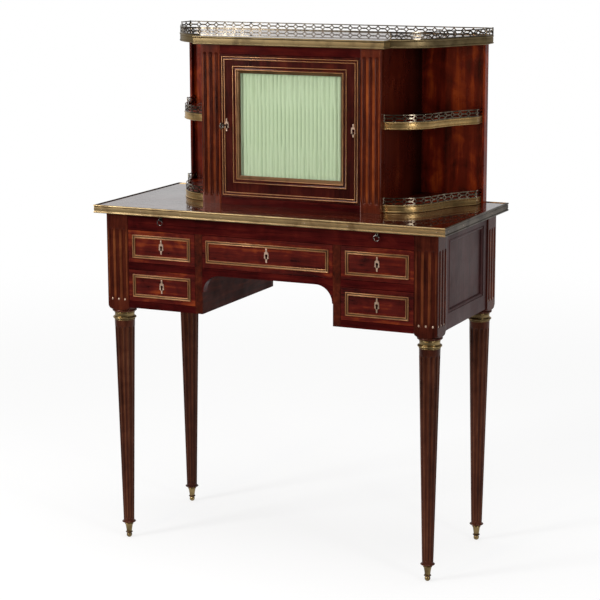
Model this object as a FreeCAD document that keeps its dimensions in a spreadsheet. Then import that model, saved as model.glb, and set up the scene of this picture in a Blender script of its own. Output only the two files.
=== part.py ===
"""Bonheur du jour: a small writing desk with a cabinet on top, as a parametric FreeCAD document.

The desk stands on the XY plane, centred on the origin, with its front towards -Y and +Z up. All sizes are in
millimetres and are kept on the sheet called Sizes. Each sub-part is an object bound to that sheet, and is
written to parts/LABEL.step.
"""
import FreeCAD
import Part
import Sketcher
import math
import os
from types import SimpleNamespace

SIZES = {
    # Desk top and its brass edge
    "desk_width": 816, "desk_depth": 390, "desk_height": 760, "top_thickness": 18, "lip_height": 1.5,
    "edge_band": 4, "bead_height": 4, "bead_depth": 1.2,
    # Carcass: posts, rails and boards
    "top_overhang_x": 22, "top_overhang_y": 18, "post_width": 52, "rail_setback": 1.5, "rail_thickness": 18,
    "side_setback": 3, "side_thickness": 16, "back_setback": 2, "back_thickness": 10,
    "slide_opening": 20, "slide_rail_height": 14.5, "upper_opening": 72, "divider_height": 15,
    "lower_opening": 71, "bottom_height": 15, "post_drop": 7.5,
    "kneehole_width": 306, "pedestal_side": 17, "arch_radius": 38, "arch_step": 2,
    "panel_recess": 5, "panel_stile": 22, "panel_top_rail": 22, "panel_bottom_rail": 34, "ovolo_width": 6,
    "ovolo_height": 4.2, "ovolo_step": 1.2,
    "runner_width": 18, "bearer_width": 16,
    # Turned legs
    "shoulder_height": 11, "shoulder_step": 1, "neck_height": 5.5, "neck_radius": 24.6, "neck_bead": 2.4,
    "collar_height": 19, "collar_radius": 21.9, "collar_seat": 20, "rim_height": 1.8, "rim_bead": 0.8,
    "torus_drop": 11.6, "torus_height": 3.8, "torus_radius": 24, "torus_bead": 1.7,
    "shaft_top_radius": 22.3, "shaft_foot_radius": 12, "flange_radius": 15.5, "flange_height": 5,
    "sabot_height": 35, "sabot_radius": 9.8, "ball_radius": 6.2, "foot_flat": 2, "turned_fit": 0.05,
    # Flutes
    "leg_flute_count": 12, "leg_flute_top_radius": 4, "leg_flute_foot_radius": 2.2, "leg_flute_start": 14,
    "post_flute_pitch": 15.5, "post_flute_radius": 6.6, "post_flute_inset": 4.2, "post_flute_top": 31,
    "post_flute_foot": 20,
    # Writing slide
    "slide_play": 0.7, "rest_gap": 0.3, "slide_clearance": 40.5, "leather_margin": 24, "leather_thickness": 1,
    "pull_drop": 8, "stud_reach": 5, "stud_radius": 2.9, "rose_radius": 4.6,
    "rose_thickness": 1, "shank_radius": 1.6, "shank_length": 7, "ring_radius": 6, "ring_wire": 1,
    "eye_radius": 1.8,
    # Drawers
    "drawer_gap": 0.8, "front_thickness": 18, "drawer_clearance": 22.5, "box_play": 0.5, "box_side": 8,
    "box_bottom": 5, "box_headroom": 8, "frame_inset_x": 11.5, "frame_inset_z": 10.6,
    "middle_inset_x": 10, "middle_inset_z": 11.6, "frame_width": 6.6, "frame_line": 1.8,
    "frame_line_bead": 0.7, "frame_height": 2.8, "frame_ledge": 0.8,
    "plate_height": 31, "plate_width": 12.6, "plate_thickness": 2, "plate_rise": 1.6, "keyhole_radius": 2.3,
    "keyhole_slot": 6.5, "lock_width": 38, "lock_height": 30, "lock_depth": 10,
    # Cabinet on the desk
    "cabinet_width": 420, "cabinet_front": 60, "cabinet_back": 187, "cabinet_height": 345, "stile_width": 46,
    "stile_thickness": 20, "cabinet_side": 14, "cabinet_back_board": 8, "base_height": 15,
    "top_rail_height": 19.5, "back_board_inset": 49, "end_lip": 5, "end_lip_depth": 12,
    "shelf_thickness": 12, "shelf_level": 166, "shelf_setback": 40, "stile_flute_pitch": 14.2,
    "stile_flute_radius": 5.2, "stile_flute_inset": 2.6, "stile_flute_margin": 16,
    # Breakfront top and serpentine wings
    "cornice_thickness": 18, "cornice_overhang": 10, "cornice_front": 10, "cornice_back": 3,
    "band_thickness": 2, "wing_shelf_thickness": 16, "middle_shelf_level": 175.5,
    "shelf_inset": 57.7, "shelf_front": 39.8, "shelf_bulge_inset": 149.8, "shelf_bulge_radius": 99,
    "shelf_sweep_reach": 195.7, "shelf_sweep_radius": 257,
    "top_inset": 42, "top_front": 41.8, "top_bulge_inset": 176, "top_bulge_radius": 130,
    "top_sweep_reach": 596, "top_sweep_radius": 703,
    # Pierced gallery
    "gallery_height": 16, "gallery_wall": 1.6, "gallery_rail": 2.2, "gallery_pitch": 21.5,
    "gallery_strut": 1.5, "gallery_margin": 3,
    # Door
    "door_gap": 0.8, "door_thickness": 20, "door_stile": 45.2, "window_bottom": 48, "window_top": 40,
    "bead_width": 17.5, "bead_lip": 8, "bead_round": 10, "bead_step": 2, "bead_sleeve": 6,
    "outer_inset_x": 3.7, "outer_inset_z": 4.5, "outer_width": 8, "glass_thickness": 3,
    "silk_thickness": 4, "door_plate_height": 28, "door_plate_inset": 14.2, "door_plate_level": 157,
    "pivot_inset_x": 8.2, "pivot_inset_y": 4, "pivot_radius": 2, "pivot_length": 9, "pivot_fit": 0.06,
    "washer_radius": 3.2, "edge_round": 3, "door_lock_width": 30, "door_lock_height": 56,
    "door_lock_depth": 9, "door_lock_inset": 2, "lock_plate": 2, "key_radius": 2, "key_clearance": 0.4,
    "key_fit": 0.06, "key_reach": 26, "key_stop": 3.4, "bow_radius": 6.4, "bow_wire": 1.5,
    "bit_length": 4, "bit_width": 5, "ward_radius": 9,
}

document = FreeCAD.newDocument("bonheur_du_jour")
parts = []


# Sizes -----------------------------------------------------------------------------------------------------

class Size:
    """A length that is both a formula on the sheet and the number it gives."""

    def __init__(self, formula, number):
        self.formula = formula
        self.number = float(number)

    def joined(self, sign, other, number):
        """Return the Size of this one and another joined by an arithmetic sign."""
        return Size(f"({self.formula} {sign} {other.formula})", number)

    def __add__(self, other):
        other = as_size(other)
        return self.joined("+", other, self.number + other.number)

    def __sub__(self, other):
        other = as_size(other)
        return self.joined("-", other, self.number - other.number)

    def __rsub__(self, other):
        return as_size(other) - self

    def __mul__(self, other):
        other = as_size(other)
        return self.joined("*", other, self.number * other.number)

    def __truediv__(self, other):
        other = as_size(other)
        return self.joined("/", other, self.number / other.number)

    def __neg__(self):
        return as_size(0) - self

    __radd__ = __add__
    __rmul__ = __mul__


def as_size(value):
    """Return value as a Size, when it may also be a plain number."""
    return value if isinstance(value, Size) else Size(str(value), value)


def root(size):
    """Return the square root of a Size."""
    return Size(f"sqrt({size.formula})", math.sqrt(size.number))


def make_sheet():
    """Write every size to the sheet and return them by name, each read back from its cell."""
    sheet = document.addObject("Spreadsheet::Sheet", "Sizes")
    for row, (name, value) in enumerate(SIZES.items(), start=1):
        sheet.set(f"A{row}", name.replace("_", " "))
        sheet.set(f"B{row}", str(value))
        sheet.setAlias(f"B{row}", name)
    document.recompute()
    return SimpleNamespace(**{name: Size(f"Sizes.{name}", sheet.get(name)) for name in SIZES})


s = make_sheet()

# Planes that several pieces share
case_x = s.desk_width / 2 - s.top_overhang_x
case_y = s.desk_depth / 2 - s.top_overhang_y
underside = s.desk_height - s.top_thickness
surface = s.desk_height - s.lip_height
slide_floor = underside - s.slide_opening
upper_top = slide_floor - s.slide_rail_height
upper_floor = upper_top - s.upper_opening
lower_top = upper_floor - s.divider_height
lower_floor = lower_top - s.lower_opening
case_bottom = lower_floor - s.bottom_height
post_bottom = case_bottom - s.post_drop
leg_x = case_x - s.post_width / 2
leg_y = case_y - s.post_width / 2
post_inner_x = case_x - s.post_width
post_inner_y = case_y - s.post_width
front_y = s.rail_setback - case_y
rail_back_y = front_y + s.rail_thickness
knee_x = s.kneehole_width / 2
bay_x = knee_x + s.pedestal_side
pull_x = (bay_x + post_inner_x) / 2
side_outer_x = case_x - s.side_setback
side_inner_x = side_outer_x - s.side_thickness
back_outer_y = case_y - s.back_setback
back_inner_y = back_outer_y - s.back_thickness
cabinet_x = s.cabinet_width / 2
opening_x = cabinet_x - s.stile_width
cabinet_y = -s.cabinet_front
stile_back_y = cabinet_y + s.stile_thickness
board_y = s.cabinet_back - s.cabinet_back_board
cornice_z = surface + s.cabinet_height
cornice_top = cornice_z + s.cornice_thickness
base_top = surface + s.base_height
rail_z = cornice_z - s.top_rail_height
door_x = opening_x - s.door_gap
door_z = base_top + s.door_gap
door_top = rail_z - s.door_gap
door_back_y = cabinet_y + s.door_thickness
pivot_x = door_x - s.pivot_inset_x
pivot_y = cabinet_y + s.pivot_inset_y
window_x = door_x - s.door_stile
window_z = door_z + s.window_bottom
window_top = door_top - s.window_top


# Document helpers ------------------------------------------------------------------------------------------

def bind(item, prop, size):
    """Bind one property of an object to a Size."""
    item.setExpression(prop, as_size(size).formula)


def place(item, x=0, y=0, z=0):
    """Bind an object's place to three Sizes."""
    for axis, size in zip("xyz", (x, y, z)):
        bind(item, f"Placement.Base.{axis}", size)


def keep(item, label):
    """Name a finished sub-part and put it on the list of those that are written."""
    item.Label = label
    parts.append(item)
    return item


def ordered(span):
    """Return a span's two Sizes with the lower one first."""
    low, high = (as_size(value) for value in span)
    return (low, high) if low.number <= high.number else (high, low)


def board(name, x, y, z):
    """Return a squared board that fills the given spans along X, Y and Z."""
    box = document.addObject("Part::Box", name)
    for span, side, axis in ((x, "Length", "x"), (y, "Width", "y"), (z, "Height", "z")):
        low, high = ordered(span)
        bind(box, side, high - low)
        bind(box, f"Placement.Base.{axis}", low)
    return box


def rod(name, radius, length, centre, axis):
    """Return a cylinder that starts at centre and runs along +Z, +X or +Y."""
    cylinder = document.addObject("Part::Cylinder", name)
    turn = {"z": (0, 0, 1, 0), "x": (0, 1, 0, 90), "y": (1, 0, 0, -90)}[axis]
    cylinder.Placement.Rotation = FreeCAD.Rotation(FreeCAD.Vector(*turn[:3]), turn[3])
    bind(cylinder, "Radius", radius)
    bind(cylinder, "Height", length)
    place(cylinder, *centre)
    return cylinder


def cut(base, *tools):
    """Return base with each tool cut out of it."""
    for tool in tools:
        result = document.addObject("Part::Cut", f"{base.Name}_cut")
        result.Base = base
        result.Tool = tool
        base = result
    return base


def fuse(name, *pieces):
    """Return several touching pieces joined to one solid."""
    result = document.addObject("Part::MultiFuse", name)
    result.Shapes = list(pieces)
    return result


def group(name, pieces):
    """Return separate solids that share one node."""
    result = document.addObject("Part::Compound", name)
    result.Links = list(pieces)
    return result


def origin_of(body, role):
    """Return one of a body's own origin planes or axes."""
    return next(item for item in body.Origin.OriginFeatures if item.Role == role)


# Outlines made of lines and arcs ---------------------------------------------------------------------------

def line(start, end):
    """Return a straight stretch between two points, each a pair of Sizes."""
    return SimpleNamespace(start=start, end=end, centre=None, radius=None, ccw=True)


def arc(start, end, centre, radius, ccw):
    """Return a round stretch about centre, anticlockwise if ccw is true."""
    return SimpleNamespace(start=start, end=end, centre=centre, radius=radius, ccw=ccw)


def chain(*points):
    """Return the straight stretches from each given point to the next."""
    return [line(start, end) for start, end in zip(points, points[1:])]


def polygon(*points):
    """Return the closed outline through the given points."""
    return chain(*points, points[0])


def crown(start, end, rise):
    """Return an arc from start to end that bulges by rise to the right of that way."""
    across, up = as_size(end[0]) - start[0], as_size(end[1]) - start[1]
    chord = root(across * across + up * up)
    radius = (chord * chord / 4 + rise * rise) / (rise * 2)
    shift = (rise - radius) / chord
    centre = (start[0] + across / 2 + up * shift, start[1] + up / 2 - across * shift)
    return arc(start, end, centre, radius, True)


def rectangle(half_x, half_y):
    """Return a rectangle centred on the origin."""
    return polygon((-half_x, -half_y), (half_x, -half_y), (half_x, half_y), (-half_x, half_y))


def mirrored(path):
    """Return a path with left and right exchanged."""
    result = []
    for piece in path:
        start, end = (-piece.start[0], piece.start[1]), (-piece.end[0], piece.end[1])
        centre = piece.centre and (-piece.centre[0], piece.centre[1])
        result.append(SimpleNamespace(start=start, end=end, centre=centre, radius=piece.radius,
                                      ccw=not piece.ccw))
    return result


def backwards(path):
    """Return a path that is followed from its end to its start."""
    return [SimpleNamespace(start=piece.end, end=piece.start, centre=piece.centre, radius=piece.radius,
                            ccw=not piece.ccw) for piece in reversed(path)]


def strip(outer, inner):
    """Return the closed outline between two paths that run side by side."""
    back = backwards(inner)
    return outer + [line(outer[-1].end, back[0].start)] + back + [line(back[-1].end, outer[0].start)]


def vector(point, z=0.0):
    """Return a point of two Sizes as a vector."""
    return FreeCAD.Vector(as_size(point[0]).number, as_size(point[1]).number, z)


def curve(piece, z=0.0):
    """Return the Part geometry of one stretch of a path, at height z."""
    start, end = vector(piece.start, z), vector(piece.end, z)
    if piece.centre is None:
        return Part.LineSegment(start, end)
    centre = vector(piece.centre, z)
    circle = Part.Circle(centre, FreeCAD.Vector(0, 0, 1), as_size(piece.radius).number)
    first, last = (start, end) if piece.ccw else (end, start)
    angles = [math.atan2(point.y - centre.y, point.x - centre.x) for point in (first, last)]
    if angles[1] <= angles[0]:
        angles[1] += 2 * math.pi
    return Part.ArcOfCircle(circle, angles[0], angles[1])


def sketch(body, name, outlines, plane="XY_Plane", offset=(0, 0, 0)):
    """Return a sketch in a body whose every corner and radius is bound to the sheet."""
    result = body.newObject("Sketcher::SketchObject", name)
    result.AttachmentSupport = [(origin_of(body, plane), "")]
    result.MapMode = "FlatFace"
    for axis, size in zip("xyz", offset):
        bind(result, f"AttachmentOffset.Base.{axis}", size)
    for outline in outlines:
        ends = []
        for piece in outline:
            index = result.addGeometry(curve(piece), False)
            ends.append((index, 1, 2) if piece.ccw or piece.centre is None else (index, 2, 1))
        for (index, _, last), (after, first, _) in zip(ends, ends[1:] + ends[:1]):
            result.addConstraint(Sketcher.Constraint("Coincident", index, last, after, first))
        for (index, first, _), piece in zip(ends, outline):
            for kind, size in zip(("DistanceX", "DistanceY"), piece.start):
                size = as_size(size)
                rule = Sketcher.Constraint(kind, -1, 1, index, first, size.number)
                bind(result, f"Constraints[{result.addConstraint(rule)}]", size)
            if piece.centre is not None:
                rule = Sketcher.Constraint("Radius", index, as_size(piece.radius).number)
                bind(result, f"Constraints[{result.addConstraint(rule)}]", piece.radius)
    return result


def pad(body, name, profile, height, midplane=False):
    """Return a pad of a sketch to the given height."""
    result = body.newObject("PartDesign::Pad", name)
    result.Profile = profile
    result.Midplane = midplane
    bind(result, "Length", height)
    return result


def plate(name, layers):
    """Return a flat body built of layers, each an outline list with its lower and upper level."""
    body = document.addObject("PartDesign::Body", name)
    for number, (outlines, low, high) in enumerate(layers):
        profile = sketch(body, f"{name}_sketch_{number}", outlines, offset=(0, 0, low))
        pad(body, f"{name}_pad_{number}", profile, high - low)
    return body


def upright(name, outline, y):
    """Return a board cut to an outline in the XZ plane that fills a span along Y."""
    low, high = ordered(y)
    body = document.addObject("PartDesign::Body", name)
    profile = sketch(body, f"{name}_sketch", [outline], plane="XZ_Plane")
    pad(body, f"{name}_pad", profile, high - low, midplane=True)
    place(body, y=(low + high) / 2)
    return body


def turned(name, outline, x, y):
    """Return a piece turned on a lathe about a vertical axis at x, y."""
    body = document.addObject("PartDesign::Body", name)
    turn(body, f"{name}_turning", outline)
    place(body, x, y)
    return body


def turn(body, name, outline, removed=False, plane="XZ_Plane", offset=(0, 0, 0)):
    """Add to a body, or take from it, an outline of radius and height turned a full circle."""
    profile = sketch(body, f"{name}_sketch", [outline], plane=plane, offset=offset)
    result = body.newObject("PartDesign::Groove" if removed else "PartDesign::Revolution", name)
    result.Profile = profile
    result.ReferenceAxis = (profile, ["V_Axis"])
    result.Angle = 360
    return result, profile


def swept(name, path, plane, level, section, start_x):
    """Return a moulding of one section, mitred round a closed path that lies in a plane at a level.

    The path starts at start_x, where the section stands in the YZ plane.
    """
    body = document.addObject("PartDesign::Body", name)
    spine = sketch(body, f"{name}_path", [path], plane=plane, offset=(0, 0, level))
    profile = sketch(body, f"{name}_section", [section], plane="YZ_Plane", offset=(0, 0, start_x))
    pipe = body.newObject("PartDesign::AdditivePipe", f"{name}_pipe")
    pipe.Profile = profile
    pipe.Spine = (spine, [f"Edge{number + 1}" for number in range(len(path))])
    pipe.Transition = "Right corner"
    return body


def moulding(name, x, y, z, section):
    """Return a mitred frame on a face at y that looks towards -Y, given its outer spans.

    The section is an outline of the distance in from the outer edge and the height above the face.
    """
    left, right = ordered(x)
    floor, top = ordered(z)
    middle = (left + right) / 2

    def stood(point):
        return (y - point[1], floor + point[0])

    stood_section = [SimpleNamespace(start=stood(piece.start), end=stood(piece.end), radius=piece.radius,
                                     centre=piece.centre and stood(piece.centre), ccw=piece.ccw)
                     for piece in section]
    path = polygon((middle, floor), (right, floor), (right, top), (left, top), (left, floor))
    return swept(name, path, "XZ_Plane", -y, stood_section, middle)


def edge_line():
    """Return the way from the foot of a section's outer bead over it and down to the face."""
    shoulder = s.frame_height - s.frame_line_bead
    return [line((s.frame_line, s.frame_ledge), (s.frame_line, shoulder)),
            crown((s.frame_line, shoulder), (0, shoulder), s.frame_line_bead), line((0, shoulder), (0, 0))]


def flat_section(width):
    """Return the section of a flat moulding with a fine bead along each edge."""
    shoulder = s.frame_height - s.frame_line_bead
    inner = width - s.frame_line
    return (chain((0, 0), (width, 0), (width, shoulder))
            + [crown((width, shoulder), (inner, shoulder), s.frame_line_bead)]
            + chain((inner, shoulder), (inner, s.frame_ledge), (s.frame_line, s.frame_ledge)) + edge_line())


def from_shape(name, shape):
    """Return a sub-part whose shape is worked out in this file from the sheet."""
    result = document.addObject("Part::Feature", name)
    result.Shape = shape
    return result


# Desk top --------------------------------------------------------------------------------------------------

def make_desk_top():
    """Make the top board and the beaded brass edge that stands a lip above it."""
    inner_x = s.desk_width / 2 - s.edge_band
    inner_y = s.desk_depth / 2 - s.edge_band
    keep(board("desk_top", (-inner_x, inner_x), (-inner_y, inner_y), (underside, surface)), "desk_top")
    half_x, front = s.desk_width / 2, -s.desk_depth / 2
    web = front + s.bead_depth
    upper, lower = s.desk_height - s.bead_height, underside + s.bead_height
    section = (chain((web, underside), (-inner_y, underside), (-inner_y, s.desk_height), (web, s.desk_height))
               + [crown((web, s.desk_height), (web, upper), s.bead_depth), line((web, upper), (web, lower)),
                  crown((web, lower), (web, underside), s.bead_depth)])
    path = polygon((0, front), (half_x, front), (half_x, -front), (-half_x, -front), (-half_x, front))
    keep(swept("edge_band", path, "XY_Plane", underside, section, as_size(0)), "desk_edge_band")


# Legs ------------------------------------------------------------------------------------------------------

def flute_outline(radius, low, high):
    """Return half the outline of a round-ended flute cutter, against its own axis."""
    return [line((0, low), (0, high)),
            arc((0, high), (radius, high - radius), (0, high - radius), radius, False),
            line((radius, high - radius), (radius, low + radius)),
            arc((radius, low + radius), (0, low), (0, low + radius), radius, False)]


def add_post_flutes(body, name, plane, side, low, high):
    """Cut three round-ended flutes side by side down one face of a square post."""
    reach = s.post_width / 2 + s.post_flute_inset
    outline = flute_outline(s.post_flute_radius, low, high)
    offset = (-s.post_flute_pitch, 0, reach * side)
    flute, profile = turn(body, name, outline, removed=True, plane=plane, offset=offset)
    row = body.newObject("PartDesign::LinearPattern", f"{name}_row")
    row.Originals = [flute]
    row.Direction = (profile, ["H_Axis"])
    bind(row, "Length", s.post_flute_pitch * 2)
    row.Occurrences = 3
    body.Tip = row


def add_leg_flutes(body, name, low, high):
    """Cut the tapering flutes down the turned shaft, as one flute repeated about its axis."""
    ends = []
    for height, shaft, radius in ((low, s.shaft_foot_radius, s.leg_flute_foot_radius),
                                  (high, s.shaft_top_radius, s.leg_flute_top_radius)):
        circle = body.newObject("Sketcher::SketchObject", f"{name}_section_{len(ends)}")
        circle.AttachmentSupport = [(origin_of(body, "XY_Plane"), "")]
        circle.MapMode = "FlatFace"
        bind(circle, "AttachmentOffset.Base.z", height)
        centre = shaft + radius / 2
        circle.addGeometry(Part.Circle(FreeCAD.Vector(centre.number, 0, 0), FreeCAD.Vector(0, 0, 1),
                                       radius.number), False)
        for rule, size in ((Sketcher.Constraint("Radius", 0, radius.number), radius),
                           (Sketcher.Constraint("DistanceX", -1, 1, 0, 3, centre.number), centre),
                           (Sketcher.Constraint("DistanceY", -1, 1, 0, 3, 0.0), as_size(0))):
            bind(circle, f"Constraints[{circle.addConstraint(rule)}]", size)
        ends.append(circle)
    flute = body.newObject("PartDesign::SubtractiveLoft", f"{name}_flute")
    flute.Profile = ends[0]
    flute.Sections = ends[1:]
    flute.Ruled = True
    ring = body.newObject("PartDesign::PolarPattern", f"{name}_flutes")
    ring.Originals = [flute]
    ring.Axis = (origin_of(body, "Z_Axis"), [""])
    ring.Angle = 360
    bind(ring, "Occurrences", s.leg_flute_count)
    body.Tip = ring


def make_leg(label, side_x, side_y):
    """Make one leg: square fluted post with a turned foot, neck, collar seat, fluted shaft and flange."""
    body = document.addObject("PartDesign::Body", label)
    half = s.post_width / 2
    profile = sketch(body, f"{label}_square", [rectangle(half, half)], offset=(0, 0, post_bottom))
    pad(body, f"{label}_post", profile, underside - post_bottom)
    collar_top = post_bottom - s.neck_height
    shaft_top = collar_top - s.collar_height
    flange_top = s.sabot_height + s.flange_height
    flange_middle = s.sabot_height + s.flange_height / 2
    outline = (chain((0, s.sabot_height), (s.sabot_radius, s.sabot_height), (s.flange_radius, flange_middle),
                     (s.shaft_foot_radius, flange_top), (s.shaft_top_radius, shaft_top),
                     (s.collar_seat, shaft_top), (s.collar_seat, collar_top), (s.neck_radius, collar_top))
               + [crown((s.neck_radius, collar_top), (s.neck_radius, post_bottom), s.neck_bead)]
               + chain((s.neck_radius, post_bottom), (0, post_bottom), (0, s.sabot_height)))
    turn(body, f"{label}_shaft", outline)
    turn(body, f"{label}_shoulder", shoulder_outline(), removed=True)
    add_leg_flutes(body, label, flange_top + s.flange_height, shaft_top - s.leg_flute_start)
    low = post_bottom + s.post_flute_foot
    high = underside - s.post_flute_top
    add_post_flutes(body, f"{label}_side_flute", "YZ_Plane", side_x, low, high)
    if side_y < 0:
        add_post_flutes(body, f"{label}_front_flute", "XZ_Plane", 1, low, high)
    place(body, leg_x * side_x, leg_y * side_y)
    keep(body, label)


def shoulder_outline():
    """Return what the lathe takes off the square post's corners, under a quarter round."""
    height = s.shoulder_height
    core = s.post_width / 2 - s.shoulder_step
    outside = core + height
    return [arc((core, post_bottom), (outside, post_bottom + height), (core, post_bottom + height), height,
                True)] + chain((outside, post_bottom + height), (outside + height, post_bottom + height),
                               (outside + height, post_bottom), (core, post_bottom))


def collar_outline():
    """Return the section of a brass collar: a fine bead at each end and a proud torus between."""
    top = post_bottom - s.neck_height
    foot = top - s.collar_height
    inner = s.collar_seat + s.turned_fit
    body = s.collar_radius
    ring = top - s.torus_drop
    ring_foot = ring - s.torus_height
    return (chain((inner, top), (inner, foot), (body, foot))
            + [crown((body, foot), (body, foot + s.rim_height), s.rim_bead)]
            + chain((body, foot + s.rim_height), (body, ring_foot), (s.torus_radius, ring_foot))
            + [crown((s.torus_radius, ring_foot), (s.torus_radius, ring), s.torus_bead)]
            + chain((s.torus_radius, ring), (body, ring), (body, top - s.rim_height))
            + [crown((body, top - s.rim_height), (body, top), s.rim_bead), line((body, top), (inner, top))])


def sabot_outline():
    """Return the section of a brass sabot: ball foot with a small flat, ring and flaring cup."""
    centre = root(s.ball_radius * s.ball_radius - s.foot_flat * s.foot_flat)
    neck = s.ball_radius * 0.6
    ring_low = centre + s.ball_radius * 0.8
    ring_high = ring_low + s.ball_radius * 0.4
    rim = s.sabot_height - s.rim_height
    return ([line((0, 0), (s.foot_flat, 0)),
             arc((s.foot_flat, 0), (neck, ring_low), (0, centre), s.ball_radius, True),
             line((neck, ring_low), (s.ball_radius, ring_low)),
             crown((s.ball_radius, ring_low), (s.ball_radius, ring_high), s.ball_radius * 0.19)]
            + chain((s.ball_radius, ring_high), (s.sabot_radius, rim))
            + [crown((s.sabot_radius, rim), (s.sabot_radius, s.sabot_height), s.rim_bead)]
            + chain((s.sabot_radius, s.sabot_height), (0, s.sabot_height), (0, 0)))


def make_legs():
    """Make the four legs, and the collars and sabots that they carry."""
    collars = []
    sabots = []
    for name_y, side_y in (("front", -1), ("back", 1)):
        for name_x, side_x in (("left", -1), ("right", 1)):
            name = f"{name_y}_{name_x}"
            make_leg(f"leg_{name}", side_x, side_y)
            collars.append(turned(f"collar_{name}", collar_outline(), leg_x * side_x, leg_y * side_y))
            sabots.append(turned(f"sabot_{name}", sabot_outline(), leg_x * side_x, leg_y * side_y))
    keep(group("collars", collars), "leg_collars")
    keep(group("sabots", sabots), "leg_sabots")


# Carcass ---------------------------------------------------------------------------------------------------

def ovolo_section():
    """Return the section of the quarter-round moulding that runs round a sunk field."""
    step, width, height = s.ovolo_step, s.ovolo_width, s.ovolo_height
    return chain((0, 0), (width, 0), (width, step)) + [crown((width, step), (step, height), step)] + chain(
        (step, height), (0, height), (0, 0))


def make_side_panels():
    """Make the two side boards, each with a sunk field and a moulding round it on the outside."""
    for name, side in (("left", -1), ("right", 1)):
        base = board(f"side_{name}", (side_outer_x * side, side_inner_x * side),
                     (-post_inner_y, post_inner_y), (case_bottom, underside))
        span = (s.panel_stile - post_inner_y, post_inner_y - s.panel_stile)
        height = (case_bottom + s.panel_bottom_rail, underside - s.panel_top_rail)
        floor_x = side_outer_x - s.panel_recess
        field = board(f"side_{name}_field", (floor_x * side, case_x * side), span, height)
        ovolo = moulding(f"side_{name}_ovolo", span, as_size(0), height, ovolo_section())
        ovolo.Placement.Rotation = FreeCAD.Rotation(FreeCAD.Vector(0, 0, 1), 90 * side)
        place(ovolo, floor_x * side)
        keep(fuse(f"side_{name}_moulded", cut(base, field), ovolo), f"side_panel_{name}")


def make_case_back():
    """Make the back board, cut away round the kneehole."""
    base = board("back", (-post_inner_x, post_inner_x), (back_inner_y, back_outer_y),
                 (case_bottom, underside))
    knee = board("back_knee", (-knee_x, knee_x), (back_inner_y, back_outer_y), (case_bottom, lower_top))
    keep(cut(base, knee), "case_back")


def make_pedestal_sides():
    """Make the upright boards beside the kneehole, notched for the slide rail and the apron."""
    for name, side in (("left", -1), ("right", 1)):
        base = board(f"inner_{name}", (knee_x * side, bay_x * side), (front_y, back_inner_y),
                     (case_bottom, slide_floor))
        notch = board(f"inner_{name}_notch", (knee_x * side, bay_x * side), (front_y, rail_back_y),
                      (upper_top, slide_floor))
        keep(cut(base, notch), f"pedestal_side_{name}")


def make_front_rails():
    """Make the rail under the slide and the arched apron under the middle drawer."""
    keep(board("slide_rail", (-post_inner_x, post_inner_x), (front_y, rail_back_y), (upper_top, slide_floor)),
         "slide_rail")
    radius = s.arch_radius
    spring = lower_top - radius
    inner = knee_x - s.arch_step
    crown = inner - radius
    outline = [line((-knee_x, upper_floor), (-knee_x, spring)), line((-knee_x, spring), (-inner, spring)),
               arc((-inner, spring), (-crown, lower_top), (-crown, spring), radius, False),
               line((-crown, lower_top), (crown, lower_top)),
               arc((crown, lower_top), (inner, spring), (crown, spring), radius, False),
               line((inner, spring), (knee_x, spring)), line((knee_x, spring), (knee_x, upper_floor)),
               line((knee_x, upper_floor), (-knee_x, upper_floor))]
    keep(upright("apron", outline, (front_y, rail_back_y)), "apron")


def bay_outline(side):
    """Return the plan of a board that fills one pedestal round its posts."""
    path = [(bay_x, front_y), (post_inner_x, front_y), (post_inner_x, -post_inner_y),
            (side_inner_x, -post_inner_y), (side_inner_x, post_inner_y), (post_inner_x, post_inner_y),
            (post_inner_x, back_inner_y), (bay_x, back_inner_y)]
    return polygon(*[(x * side, y) for x, y in path])


def make_bay_boards():
    """Make the dust boards between the drawers and the bottoms below them."""
    for label, low, high in (("dust_boards", lower_top, upper_floor),
                             ("pedestal_bottoms", case_bottom, lower_floor)):
        pieces = [plate(f"{label}_{name}", [([bay_outline(side)], low, high)])
                  for name, side in (("left", -1), ("right", 1))]
        keep(group(label, pieces), label)


def make_runners():
    """Make what the drawers and the slide run on and along inside the case."""
    pieces = []
    for name, side in (("left", -1), ("right", 1)):
        pieces.append(board(f"runner_{name}", ((knee_x - s.runner_width) * side, knee_x * side),
                            (rail_back_y, back_inner_y), (lower_top, upper_floor)))
        pieces.append(board(f"bearer_{name}", ((post_inner_x - s.bearer_width) * side, side_inner_x * side),
                            (-post_inner_y, post_inner_y), (upper_top, slide_floor)))
        for level, floor in (("upper", upper_floor), ("lower", lower_floor)):
            pieces.append(board(f"guide_{level}_{name}", (post_inner_x * side, side_inner_x * side),
                                (-post_inner_y, post_inner_y), (floor, floor + s.runner_width)))
    keep(group("runners", pieces), "drawer_runners")


# Writing slide ---------------------------------------------------------------------------------------------

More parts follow.
